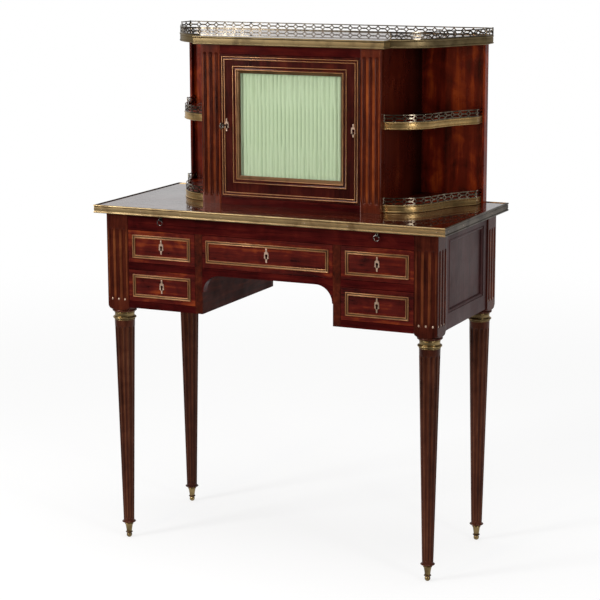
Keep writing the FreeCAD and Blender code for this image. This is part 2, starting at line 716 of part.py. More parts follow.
def make_writing_slide():
    """Make the slide with its leather, its two studs and the rings that hang from them."""
    half = post_inner_x - s.slide_play
    low = slide_floor + s.rest_gap
    high = underside - s.slide_play
    back = back_inner_y - s.slide_clearance
    slide = board("slide", (-half, half), (front_y, back), (low, high))
    leather_span = (s.leather_margin - half, half - s.leather_margin)
    leather_depth = (front_y + s.leather_margin, back - s.leather_margin)
    sink = high - s.leather_thickness
    stud_z = underside - s.pull_drop
    tools = [board("slide_recess", leather_span, leather_depth, (sink, high))]
    studs = []
    for name, side in (("left", -1), ("right", 1)):
        x = pull_x * side
        tools.append(rod(f"shank_bore_{name}", s.shank_radius, s.shank_length, (x, front_y, stud_z), "y"))
        studs.append(make_stud(name, x, stud_z))
    keep(cut(slide, *tools), "writing_slide")
    keep(board("slide_leather", leather_span, leather_depth, (sink, high)), "slide_leather")
    keep(group("studs", studs), "slide_studs")
    for name, side in (("left", -1), ("right", 1)):
        ring = document.addObject("Part::Torus", f"ring_{name}")
        ring.Placement.Rotation = FreeCAD.Rotation(FreeCAD.Vector(1, 0, 0), 90)
        bind(ring, "Radius1", s.ring_radius)
        bind(ring, "Radius2", s.ring_wire)
        place(ring, pull_x * side, front_y - s.stud_reach, stud_z - s.ring_radius)
        keep(ring, f"pull_ring_{name}")


def make_stud(name, x, z):
    """Return one stud: a shank in the slide, a rose on its face and a ball with an eye along X."""
    y = front_y - s.stud_reach
    shank = rod(f"stud_shank_{name}", s.shank_radius, s.shank_length + s.stud_reach, (x, y, z), "y")
    rose = rod(f"stud_rose_{name}", s.rose_radius, s.rose_thickness,
               (x, front_y - s.rose_thickness, z), "y")
    ball = document.addObject("Part::Sphere", f"stud_ball_{name}")
    bind(ball, "Radius", s.stud_radius)
    place(ball, x, y, z)
    eye = rod(f"stud_eye_{name}", s.eye_radius, s.stud_radius * 4, (x - s.stud_radius * 2, y, z), "x")
    return cut(fuse(f"stud_{name}", shank, rose, ball), eye)


# Escutcheons and drawers -----------------------------------------------------------------------------------

def escutcheon(name, x, y, z, height, hole_radius, slot_length):
    """Return a keyhole plate that faces -Y: an oval with a finial above and below, pierced for the key."""
    depth = FreeCAD.Vector(0, s.plate_thickness.number, 0)
    half_width = s.plate_width.number / 2
    finial = half_width * 0.38
    half_oval = height.number / 2 - finial * 1.9
    across = FreeCAD.Vector(0, -1, 0)
    centre = FreeCAD.Vector(0, 0, 0)
    ellipse = Part.Ellipse(centre, half_oval, half_width)
    ellipse.Axis = across
    ellipse.XAxis = FreeCAD.Vector(0, 0, 1)
    plate_shape = Part.Face(Part.Wire(ellipse.toShape())).extrude(depth)
    for end in (-1, 1):
        tip = FreeCAD.Vector(0, 0, end * (height.number / 2 - finial))
        plate_shape = plate_shape.fuse(Part.makeCylinder(finial, depth.y, tip, -across))
        scroll = FreeCAD.Vector(0, 0, end * half_oval)
        plate_shape = plate_shape.fuse(Part.makeCylinder(finial * 1.25, depth.y, scroll, -across))
    hole = Part.makeCylinder(hole_radius.number, depth.y, centre, -across)
    slot_width = hole_radius.number * 0.9
    corner = FreeCAD.Vector(-slot_width / 2, 0, -slot_length.number)
    slot = Part.makeBox(slot_width, depth.y, slot_length.number, corner)
    result = from_shape(name, plate_shape.cut(hole).cut(slot).removeSplitter())
    place(result, x, y - s.plate_thickness, z)
    return result


def keyway(name, x, y, z, hole_radius, slot_length):
    """Return the cutters of a keyhole along Y: a round hole and the slot below it."""
    low, high = ordered(y)
    half_slot = hole_radius * 0.45
    return (rod(f"{name}_hole", hole_radius, high - low, (x, low, z), "y"),
            board(f"{name}_slot", (x - half_slot, x + half_slot), (low, high), (z - slot_length, z)))


def make_drawer(label, x, z, inset_x, inset_z):
    """Make one drawer: its front and box, and its brasses (frame moulding, escutcheon and lock)."""
    left, right = ordered(x)
    floor, top = ordered(z)
    front_back = front_y + s.front_thickness
    middle = (left + right) / 2
    plate_z = (floor + top) / 2 + s.plate_rise
    left, right = left + s.drawer_gap, right - s.drawer_gap
    front = board(f"{label}_front", (left, right), (front_y, front_back),
                  (floor + s.drawer_gap, top - s.drawer_gap))
    lock_span = ((middle - s.lock_width / 2, middle + s.lock_width / 2),
                 (front_back - s.lock_depth, front_back),
                 (plate_z - s.lock_height / 2, plate_z + s.lock_height / 2))
    keyhole = keyway(f"{label}_key", middle, (front_y, front_back - s.lock_depth), plate_z,
                     s.keyhole_radius, s.keyhole_slot)
    front = cut(front, board(f"{label}_mortise", *lock_span), *keyhole)
    back = back_inner_y - s.drawer_clearance
    low = floor + s.rest_gap
    outer = board(f"{label}_outer", (left + s.box_play, right - s.box_play), (front_back, back),
                  (low, top - s.box_headroom))
    wall = s.box_play + s.box_side
    hollow = board(f"{label}_hollow", (left + wall, right - wall), (front_back, back - s.box_side),
                   (low + s.box_bottom, top))
    keep(group(f"{label}_wood", [front, cut(outer, hollow)]), label)
    frame_x = (left - s.drawer_gap + inset_x, right + s.drawer_gap - inset_x)
    frame_z = (floor + inset_z, top - inset_z)
    border = moulding(f"{label}_moulding", frame_x, front_y, frame_z, flat_section(s.frame_width))
    keyplate = escutcheon(f"{label}_plate", middle, front_y, plate_z, s.plate_height, s.keyhole_radius,
                          s.keyhole_slot)
    lock = board(f"{label}_lock", *lock_span)
    keep(group(f"{label}_metal", [border, keyplate, lock]), f"{label}_brasses")


def make_drawers():
    """Make the five drawers in their openings."""
    for name, side in (("left", -1), ("right", 1)):
        bay = (bay_x * side, post_inner_x * side)
        for level, span in (("upper", (upper_floor, upper_top)), ("lower", (lower_floor, lower_top))):
            make_drawer(f"drawer_{level}_{name}", bay, span, s.frame_inset_x, s.frame_inset_z)
    make_drawer("drawer_middle", (-knee_x, knee_x), (upper_floor, upper_top), s.middle_inset_x,
                s.middle_inset_z)


# Cabinet carcass -------------------------------------------------------------------------------------------

def make_cabinet_case():
    """Make the cabinet's base, sides, stiles, top rail, back and inner shelf."""
    inner_x = cabinet_x - s.cabinet_side
    plan = polygon((-opening_x, cabinet_y), (opening_x, cabinet_y), (opening_x, stile_back_y),
                   (inner_x, stile_back_y), (inner_x, board_y), (-inner_x, board_y),
                   (-inner_x, stile_back_y), (-opening_x, stile_back_y))
    base = plate("base", [([plan], surface, base_top)])
    rail = board("cabinet_rail", (-opening_x, opening_x), (cabinet_y, stile_back_y), (rail_z, cornice_z))
    low_bore = rod("low_bore", s.pivot_radius, s.pivot_length, (pivot_x, pivot_y, base_top - s.pivot_length),
                   "z")
    high_bore = rod("high_bore", s.pivot_radius, s.pivot_length, (pivot_x, pivot_y, rail_z), "z")
    keep(cut(base, low_bore), "cabinet_base")
    keep(cut(rail, high_bore), "cabinet_top_rail")
    for name, side in (("left", -1), ("right", 1)):
        keep(board(f"cabinet_{name}", (inner_x * side, cabinet_x * side), (stile_back_y, board_y),
                   (surface, cornice_z)), f"cabinet_side_{name}")
        make_stile(name, side)
    make_cabinet_back()
    shelf_z = surface + s.shelf_level
    keep(board("inner_shelf", (-inner_x, inner_x), (cabinet_y + s.shelf_setback, board_y),
               (shelf_z, shelf_z + s.shelf_thickness)), "cabinet_shelf")
    pins = []
    washer_height = s.door_gap - s.pivot_fit
    for name, floor, washer_z in (("low", base_top, base_top), ("high", door_top, rail_z - washer_height)):
        pin = rod(f"pin_{name}", s.pivot_radius, s.pivot_length * 2 + s.door_gap,
                  (pivot_x, pivot_y, floor - s.pivot_length), "z")
        washer = rod(f"washer_{name}", s.washer_radius, washer_height, (pivot_x, pivot_y, washer_z), "z")
        pins.append(fuse(f"pivot_{name}", pin, washer))
    keep(group("pivots", pins), "door_pivots")


def make_cabinet_back():
    """Make the wide back board, with a lip turned forward at each end beside the wing shelves."""
    half = s.desk_width / 2 - s.back_board_inset
    inner = half - s.end_lip
    lip_y = board_y - s.end_lip_depth
    plan = polygon((-half, s.cabinet_back), (-half, lip_y), (-inner, lip_y), (-inner, board_y),
                   (inner, board_y), (inner, lip_y), (half, lip_y), (half, s.cabinet_back))
    keep(plate("cabinet_board", [([plan], surface, cornice_z)]), "cabinet_back")


def make_stile(name, side):
    """Make one front stile of the cabinet with three flutes down its face."""
    label = f"cabinet_stile_{name}"
    body = document.addObject("PartDesign::Body", label)
    half = s.stile_width / 2
    depth = s.stile_thickness / 2
    profile = sketch(body, f"{label}_section", [rectangle(half, depth)], offset=(0, 0, surface))
    pad(body, f"{label}_pad", profile, cornice_z - surface)
    outline = flute_outline(s.stile_flute_radius, surface + s.stile_flute_margin,
                            cornice_z - s.stile_flute_margin)
    offset = (-s.stile_flute_pitch, 0, depth + s.stile_flute_inset)
    flute, profile = turn(body, f"{label}_flute", outline, removed=True, offset=offset)
    row = body.newObject("PartDesign::LinearPattern", f"{label}_flutes")
    row.Originals = [flute]
    row.Direction = (profile, ["H_Axis"])
    bind(row, "Length", s.stile_flute_pitch * 2)
    row.Occurrences = 3
    body.Tip = row
    place(body, (cabinet_x - half) * side, cabinet_y + depth)
    keep(body, label)


# Serpentine outlines ---------------------------------------------------------------------------------------

def serpentine(half_width, front, bulge_inset, bulge_radius, sweep_reach, sweep_radius):
    """Return the sizes of one serpentine edge, with the centres of its two curves worked out."""
    return SimpleNamespace(half_width=half_width, front=front, bulge_x=half_width - bulge_inset,
                           bulge_radius=bulge_radius, sweep_x=half_width + sweep_reach,
                           sweep_radius=sweep_radius)


shelf_edge = serpentine(s.desk_width / 2 - s.shelf_inset, s.shelf_front, s.shelf_bulge_inset,
                        s.shelf_bulge_radius, s.shelf_sweep_reach, s.shelf_sweep_radius)
top_edge = serpentine(s.desk_width / 2 - s.top_inset, s.top_front, s.top_bulge_inset, s.top_bulge_radius,
                      s.top_sweep_reach, s.top_sweep_radius)


def wing_path(edge, grow, start_x, back_y):
    """Return the front edge of a right wing: bulging, sweeping out, then square to the back.

    grow moves the whole edge outwards from the outline of the wood.
    """
    grow = as_size(grow)
    bulge_y = edge.bulge_radius - edge.front
    apart = edge.bulge_radius + edge.sweep_radius
    across = edge.sweep_x - edge.bulge_x
    along_y = root(apart * apart - across * across)
    bulge = edge.bulge_radius + grow
    sweep = edge.sweep_radius - grow
    start = (start_x, bulge_y - root(bulge * bulge - (start_x - edge.bulge_x) * (start_x - edge.bulge_x)))
    turning = (edge.bulge_x + across * bulge / apart, bulge_y - along_y * bulge / apart)
    end_x = edge.half_width + grow
    reach = edge.sweep_x - end_x
    end = (end_x, bulge_y - along_y + root(sweep * sweep - reach * reach))
    return [arc(start, turning, (edge.bulge_x, bulge_y), bulge, True),
            arc(turning, end, (edge.sweep_x, bulge_y - along_y), sweep, False),
            line(end, (end_x, back_y))]


def cornice_path(grow):
    """Return the whole front edge of the breakfront top, from its left back corner to its right."""
    block_x = cabinet_x + s.cornice_overhang + grow
    block_y = cabinet_y - s.cornice_front - grow
    back_y = s.cabinet_back + s.cornice_back
    right = wing_path(top_edge, grow, block_x, back_y)
    left = backwards(mirrored(right))
    wing_y = right[0].start[1]
    block = chain((-block_x, wing_y), (-block_x, block_y), (block_x, block_y), (block_x, wing_y))
    return left + block + right


def beaded(outer, inner, proud, low, high):
    """Return the three layers of a brass band: bead, plain web, bead."""
    bead = [strip(proud, inner)]
    web = [strip(outer, inner)]
    step = s.bead_height
    return [(bead, low, low + step), (web, low + step, high - step), (bead, high - step, high)]


def make_cornice():
    """Make the breakfront top and the brass band round its front and ends."""
    path = cornice_path(as_size(0))
    outline = path + [line(path[-1].end, path[0].start)]
    keep(plate("cornice", [([outline], cornice_z, cornice_top)]), "cabinet_top")
    web = cornice_path(s.band_thickness)
    proud = cornice_path(s.band_thickness + s.bead_depth)
    keep(plate("band", beaded(web, path, proud, cornice_z, cornice_top)), "top_band")


def wing_levels():
    """Return the floor level of the lower and middle wing shelves."""
    return {"lower": surface, "middle": surface + s.middle_shelf_level}


def make_wing_shelves():
    """Make the four serpentine wing shelves."""
    for level, low in wing_levels().items():
        for name, side in (("left", -1), ("right", 1)):
            path = wing_path(shelf_edge, 0, cabinet_x, board_y)
            outline = path + [line(path[-1].end, (cabinet_x, board_y)),
                              line((cabinet_x, board_y), path[0].start)]
            outline = outline if side > 0 else backwards(mirrored(outline))
            label = f"{level}_shelf_{name}"
            keep(plate(label, [([outline], low, low + s.wing_shelf_thickness)]), label)


# Pierced galleries -----------------------------------------------------------------------------------------

def solid_strip(outline, low, high):
    """Return a solid that fills a closed outline between two levels."""
    edges = [curve(piece, low.number).toShape() for piece in outline]
    face = Part.Face(Part.Wire(Part.__sortEdges__(edges)))
    return face.extrude(FreeCAD.Vector(0, 0, high.number - low.number))


def stations(path):
    """Return evenly spaced places along a smooth path as (point, direction) pairs, one a repeat."""
    lengths = [piece_length(piece) for piece in path]
    total = sum(lengths) - 2 * s.gallery_margin.number
    count = max(1, round(total / s.gallery_pitch.number))
    pitch = total / count
    result = [along(path, lengths, s.gallery_margin.number + pitch * (number + 0.5))
              for number in range(count)]
    return result, pitch


def piece_length(piece):
    """Return the length of one stretch of a path."""
    return curve(piece).toShape().Length


def along(path, lengths, distance):
    """Return the point and the direction of travel at a distance along a path."""
    for piece, length in zip(path, lengths):
        if distance <= length or piece is path[-1]:
            break
        distance -= length
    start = vector(piece.start)
    if piece.centre is None:
        direction = (vector(piece.end) - start).normalize()
        return start + direction * distance, direction
    centre = vector(piece.centre)
    angle = distance / as_size(piece.radius).number * (1 if piece.ccw else -1)
    turned_arm = FreeCAD.Rotation(FreeCAD.Vector(0, 0, 1), math.degrees(angle)).multVec(start - centre)
    direction = FreeCAD.Vector(-turned_arm.y, turned_arm.x, 0).normalize() * (1 if piece.ccw else -1)
    return centre + turned_arm, direction


def piercing(point, direction, pitch, low):
    """Return the cutters of one repeat: a hollow-sided diamond at its end, and a half-moon above and below.

    The half-moons nearly meet at the middle of the repeat, and the diamond's sides run along them.
    """
    middle = s.gallery_height.number / 2
    strut = s.gallery_strut.number
    edge = middle - s.gallery_rail.number
    half = pitch / 2
    depth = edge - strut / 2
    chord = half - strut / 2
    moon = (chord * chord + depth * depth) / (2 * depth)
    focus = strut / 2 + moon
    outer = moon + strut
    tip_up = focus - math.sqrt(outer * outer - half * half)
    tip_along = half - math.sqrt(outer * outer - focus * focus)
    normal = FreeCAD.Vector(-direction.y, direction.x, 0)
    reach = 3 * s.gallery_wall.number

    def at(u, v):
        return point + direction * u + FreeCAD.Vector(0, 0, low + middle + v) - normal * reach

    def bent(start, end, centre, radius):
        way = FreeCAD.Vector((start[0] + end[0]) / 2 - centre[0], (start[1] + end[1]) / 2 - centre[1], 0)
        way = way.normalize() * radius
        return Part.Arc(at(*start), at(centre[0] + way.x, centre[1] + way.y), at(*end)).toShape()

    wires = []
    tips = [(half - tip_along, 0), (half, tip_up), (half + tip_along, 0), (half, -tip_up)]
    foci = [(0, focus), (pitch, focus), (pitch, -focus), (0, -focus)]
    wires.append([bent(start, end, centre, outer)
                  for start, end, centre in zip(tips, tips[1:] + tips[:1], foci)])
    for side in (-1, 1):
        ends = [(-chord, edge * side), (chord, edge * side)]
        wires.append([bent(*ends, (0, focus * side), moon), Part.makeLine(at(*ends[1]), at(*ends[0]))])
    return [Part.Face(Part.Wire(wire)).extrude(normal * reach * 2) for wire in wires]


def gallery_wall(runs, low):
    """Return a pierced wall that stands on level low along one or more smooth runs.

    Each run gives the outer path, the inner path and the middle line that the piercings follow.
    """
    height = s.gallery_height
    wall = None
    for outer, inner, middle in runs:
        piece = solid_strip(strip(outer, inner), low, low + height)
        wall = piece if wall is None else wall.fuse(piece)
        places, pitch = stations(middle)
        cutters = []
        for number, (point, direction) in enumerate(places):
            shapes = piercing(point, direction, pitch, low.number)
            last = number == len(places) - 1
            cutters.extend(shapes[1:] if last else shapes)
        wall = wall.cut(Part.makeCompound(cutters))
    return wall.removeSplitter()


def wing_runs(edge, start_x, back_y, side):
    """Return the gallery runs of one wing: the serpentine front, and the short end."""
    margin = (s.band_thickness - s.gallery_wall) / 2
    paths = [wing_path(edge, margin + step, start_x, back_y)
             for step in (s.gallery_wall, as_size(0), s.gallery_wall / 2)]
    if side < 0:
        paths = [mirrored(path) for path in paths]
    return [[path[:2] for path in paths], [path[2:] for path in paths]]


def make_galleries():
    """Make the galleries on the cabinet's top and, with their bands, on the wing shelves."""
    back_y = s.cabinet_back + s.cornice_back
    end_x = top_edge.half_width + s.band_thickness
    outer, inner, middle = [[line((-end_x, back_y - step), (end_x, back_y - step))]
                            for step in (as_size(0), s.gallery_wall, s.gallery_wall / 2)]
    rear = gallery_wall([(outer, inner, middle)], cornice_top)
    keep(from_shape("gallery_back", rear), "top_gallery_back")
    for name, side in (("left", -1), ("right", 1)):
        start_x = cabinet_x + s.cornice_overhang + s.band_thickness
        runs = wing_runs(top_edge, start_x, back_y - s.gallery_wall, side)
        keep(from_shape(f"gallery_{name}", gallery_wall(runs, cornice_top)), f"top_gallery_{name}")
        pieces = []
        for level, low in wing_levels().items():
            high = low + s.wing_shelf_thickness
            paths = [wing_path(shelf_edge, grow, cabinet_x, board_y)
                     for grow in (s.band_thickness, as_size(0), s.band_thickness + s.bead_depth)]
            if side < 0:
                paths = [mirrored(path) for path in paths]
            solid = gallery_wall(wing_runs(shelf_edge, cabinet_x, board_y, side), high)
            for outlines, floor, roof in beaded(*paths, low, high):
                solid = solid.fuse(solid_strip(outlines[0], floor, roof))
            pieces.append(from_shape(f"{level}_gallery_{name}", solid.removeSplitter()))
        keep(group(f"galleries_{name}", pieces), f"shelf_galleries_{name}")


# Door ------------------------------------------------------------------------------------------------------

def make_door():
    """Make the door: frame, brasses, glass, silk, escutcheons, lock and the key in it."""
    lip_x = window_x + s.bead_lip
    lip_z = (window_z - s.bead_lip, window_top + s.bead_lip)
    key_x = s.door_plate_inset - door_x
    key_z = door_z + s.door_plate_level
    glass_y = cabinet_y + s.bead_sleeve
    silk_y = glass_y + s.glass_thickness + s.rest_gap
    silk_back = silk_y + s.silk_thickness
    make_door_frame(lip_x, lip_z, silk_back, key_x, key_z)
    make_door_mouldings(key_x, key_z)
    pane_x = (s.rest_gap - lip_x, lip_x - s.rest_gap)
    pane_z = (lip_z[0], lip_z[1] - s.rest_gap)
    keep(board("glass", pane_x, (glass_y, glass_y + s.glass_thickness), pane_z), "door_glass")
    keep(board("silk", pane_x, (silk_y, silk_back), pane_z), "door_silk")
    plates = [escutcheon(f"door_plate_{name}", key_x * side, cabinet_y, key_z, s.door_plate_height,
                         s.key_radius + s.key_clearance, s.key_radius + s.bit_width)
              for name, side in (("left", 1), ("right", -1))]
    keep(group("door_plates", plates), "door_escutcheons")
    make_door_lock(key_x, key_z)
    make_key(key_x, key_z)


def make_door_frame(lip_x, lip_z, silk_back, key_x, key_z):
    """Make the door's wooden frame: rebated window, rounded hinge edge, pivot bores and keyhole."""
    leaf = board("leaf", (-door_x, door_x), (cabinet_y, door_back_y), (door_z, door_top))
    document.recompute()
    corner = FreeCAD.Vector(door_x.number, cabinet_y.number, key_z.number)
    rounded = document.addObject("Part::Fillet", "leaf_rounded")
    rounded.Base = leaf
    rounded.Edges = [(nearest_edge(leaf.Shape, corner), s.edge_round.number, s.edge_round.number)]
    rebate = board("leaf_rebate", (-lip_x, lip_x), (cabinet_y, silk_back), lip_z)
    window = board("leaf_window", (-window_x, window_x), (silk_back, door_back_y), (window_z, window_top))
    bores = [rod(f"leaf_bore_{name}", s.pivot_radius + s.pivot_fit, s.pivot_length,
                 (pivot_x, pivot_y, z), "z")
             for name, z in (("low", door_z), ("high", door_top - s.pivot_length))]
    keyhole = keyway("leaf_key", key_x, (cabinet_y, door_back_y), key_z, s.key_radius + s.key_clearance,
                     s.key_radius + s.bit_width)
    keep(cut(rounded, rebate, window, *bores, *keyhole), "door_frame")


def make_door_mouldings(key_x, key_z):
    """Make the brass mouldings on the door: a fine outer frame, and the sleeve that holds the glass.

    The outer frame stops short of the two escutcheons, which stand partly in its place.
    """
    outer_x = door_x - s.outer_inset_x
    outer_z = (door_z + s.outer_inset_z, door_top - s.outer_inset_z)
    outer = moulding("door_outer", (-outer_x, outer_x), cabinet_y, outer_z, flat_section(s.outer_width))
    proud = (cabinet_y - s.frame_height, cabinet_y)
    half_width = s.plate_width / 2 + s.rest_gap
    half_height = s.door_plate_height / 2 + s.rest_gap
    height = (key_z - half_height, key_z + half_height)
    for name, side in (("left", 1), ("right", -1)):
        span = ((key_x - half_width) * side, (key_x + half_width) * side)
        outer = cut(outer, board(f"plate_gap_{name}", span, proud, height))
    bead_x = window_x + s.bead_width
    bead_z = (window_z - s.bead_width, window_top + s.bead_width)
    inner = moulding("door_inner", (-bead_x, bead_x), cabinet_y, bead_z, sight_section())
    keep(group("door_metal", [outer, inner]), "door_mouldings")


def sight_section():
    """Return the section of the moulding round the glass: fine bead, hollow, broad bead and sleeve."""
    lip = s.bead_width - s.bead_lip
    inner = s.bead_width - s.bead_step
    outer = inner - s.bead_round
    return (chain((0, 0), (lip, 0), (lip, -s.bead_sleeve), (s.bead_width, -s.bead_sleeve),
                  (s.bead_width, s.frame_ledge), (inner, s.frame_ledge))
            + [crown((inner, s.frame_ledge), (outer, s.frame_ledge), s.frame_height - s.frame_ledge),
               line((outer, s.frame_ledge), (s.frame_line, s.frame_ledge))] + edge_line())


def make_door_lock(key_x, key_z):
    """Make the lock on the back of the door, hollow where the bit turns and bored for the key's end."""
    left = s.door_lock_inset - door_x
    case = board("door_lock_case", (left, left + s.door_lock_width),
                 (door_back_y, door_back_y + s.door_lock_depth),
                 (key_z - s.door_lock_height / 2, key_z + s.door_lock_height / 2))
    axis = (key_x, door_back_y, key_z)
    ward = rod("lock_ward", s.ward_radius, s.door_lock_depth - s.lock_plate, axis, "y")
    bearing = rod("lock_bearing", s.key_radius + s.key_fit, s.door_lock_depth, axis, "y")
    keep(cut(case, ward, bearing), "door_lock")


def make_key(x, z):
    """Make the key: a ring bow in front of the door, a shank through it and a bit inside the lock."""
    bow = document.addObject("Part::Torus", "key_bow")
    bow.Placement.Rotation = FreeCAD.Rotation(FreeCAD.Vector(0, 1, 0), 90)
    bind(bow, "Radius1", s.bow_radius)
    bind(bow, "Radius2", s.bow_wire)
    bow_y = cabinet_y - s.key_reach
    place(bow, x, bow_y, z)
    start = bow_y + s.bow_radius
    end = door_back_y + s.door_lock_depth
    shank = rod("key_shank", s.key_radius, end - start, (x, start, z), "y")
    stop = rod("key_collar", s.key_stop, s.bow_wire, (x, start + s.bow_wire, z), "y")
    bit_start = door_back_y + s.bow_wire
    bit = board("key_bit", (x - s.bow_wire / 2, x + s.bow_wire / 2), (bit_start, bit_start + s.bit_length),
                (z - s.key_radius - s.bit_width, z))
    keep(fuse("key", bow, shank, stop, bit), "door_key")


def nearest_edge(shape, point):
    """Return the number of the edge that passes closest to a point."""
    vertex = Part.Vertex(point)
    distances = [edge.distToShape(vertex)[0] for edge in shape.Edges]
    return distances.index(min(distances)) + 1


# Build, check and write ------------------------------------------------------------------------------------

def check_document():
    """Stop if any object failed or any sub-part is empty or not valid."""
    for item in document.Objects:
        if "Invalid" in item.State or "Error" in item.State:
            raise RuntimeError(f"{item.Label} failed: {item.State}")
    for item in parts:
        if item.Shape.isNull() or not item.Shape.isValid() or not item.Shape.Solids:
            raise RuntimeError(f"{item.Label} has no valid shape")


def write_parts():
    """Write each sub-part to its own STEP file."""
    os.makedirs("parts", exist_ok=True)
    for item in parts:
        item.Shape.exportStep(os.path.join("parts", f"{item.Label}.step"))
        print(f"{item.Label}: {len(item.Shape.Solids)} solid(s), {item.Shape.Volume / 1000:.2f} cm3")


make_desk_top()
make_legs()
make_side_panels()
make_case_back()
make_pedestal_sides()
make_front_rails()
make_bay_boards()
make_runners()
make_writing_slide()
make_drawers()
make_cabinet_case()
make_cornice()
make_wing_shelves()
make_galleries()
make_door()
document.recompute()
check_document()
write_parts()
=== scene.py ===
"""Dress the bonheur du jour in mahogany, brass, glass and pleated silk, and set it in a plain studio.

Sizes are in millimetres until a mesh is made, in the same frame as the solids: the front faces -Y.
"""
import logging
import math
from dataclasses import dataclass, field, replace
from enum import Enum
from typing import Callable, Iterable, Sequence

import bmesh
import bpy
from mathutils import Euler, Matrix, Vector


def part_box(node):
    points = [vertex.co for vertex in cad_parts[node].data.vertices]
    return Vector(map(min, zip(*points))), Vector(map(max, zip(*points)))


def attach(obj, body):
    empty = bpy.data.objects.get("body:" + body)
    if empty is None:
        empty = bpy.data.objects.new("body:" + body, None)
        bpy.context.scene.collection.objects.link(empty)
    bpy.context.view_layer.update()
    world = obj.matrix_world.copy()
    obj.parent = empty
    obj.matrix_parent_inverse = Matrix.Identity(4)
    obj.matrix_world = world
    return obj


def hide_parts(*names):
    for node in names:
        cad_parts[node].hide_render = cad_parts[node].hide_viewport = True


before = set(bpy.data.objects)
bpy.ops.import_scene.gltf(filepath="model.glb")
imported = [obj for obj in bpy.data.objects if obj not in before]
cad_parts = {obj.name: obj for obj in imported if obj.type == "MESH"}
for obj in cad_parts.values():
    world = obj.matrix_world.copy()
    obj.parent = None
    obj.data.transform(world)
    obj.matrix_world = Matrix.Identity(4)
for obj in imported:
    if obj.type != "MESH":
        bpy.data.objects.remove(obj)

LOG = logging.getLogger("bonheur_du_jour")
MM = 0.001
# Points store their depth in flutes and folds under this name; the finishes paint shade in the hollows and
# highlights on the ridges from it.
HOLLOW = "hollow"
Colour = tuple[float, float, float]
Point = tuple[float, float]
Spot = tuple[float, float, float]
Line = list[Vector]
Faces = Sequence[tuple[int, int]]
Places = Sequence[tuple[Vector, Vector]]
Lift = Callable[[float, float, float], Vector]
Shell = bmesh.types.BMesh
Socket = bpy.types.NodeSocket
WHITE: Colour = (1.0, 1.0, 1.0)
SHELVES = ("lower", "middle")


# Node trees ---------------------------------------------------------------

class Axis(Enum):
    """A direction of the frame, as its place in a vector."""

    X = 0
    Y = 1
    Z = 2


class Side(Enum):
    """Left or right as the sitter sees the desk."""

    LEFT = -1
    RIGHT = 1

    @property
    def word(self) -> str:
        """The side's name as nodes spell it."""
        return self.name.lower()


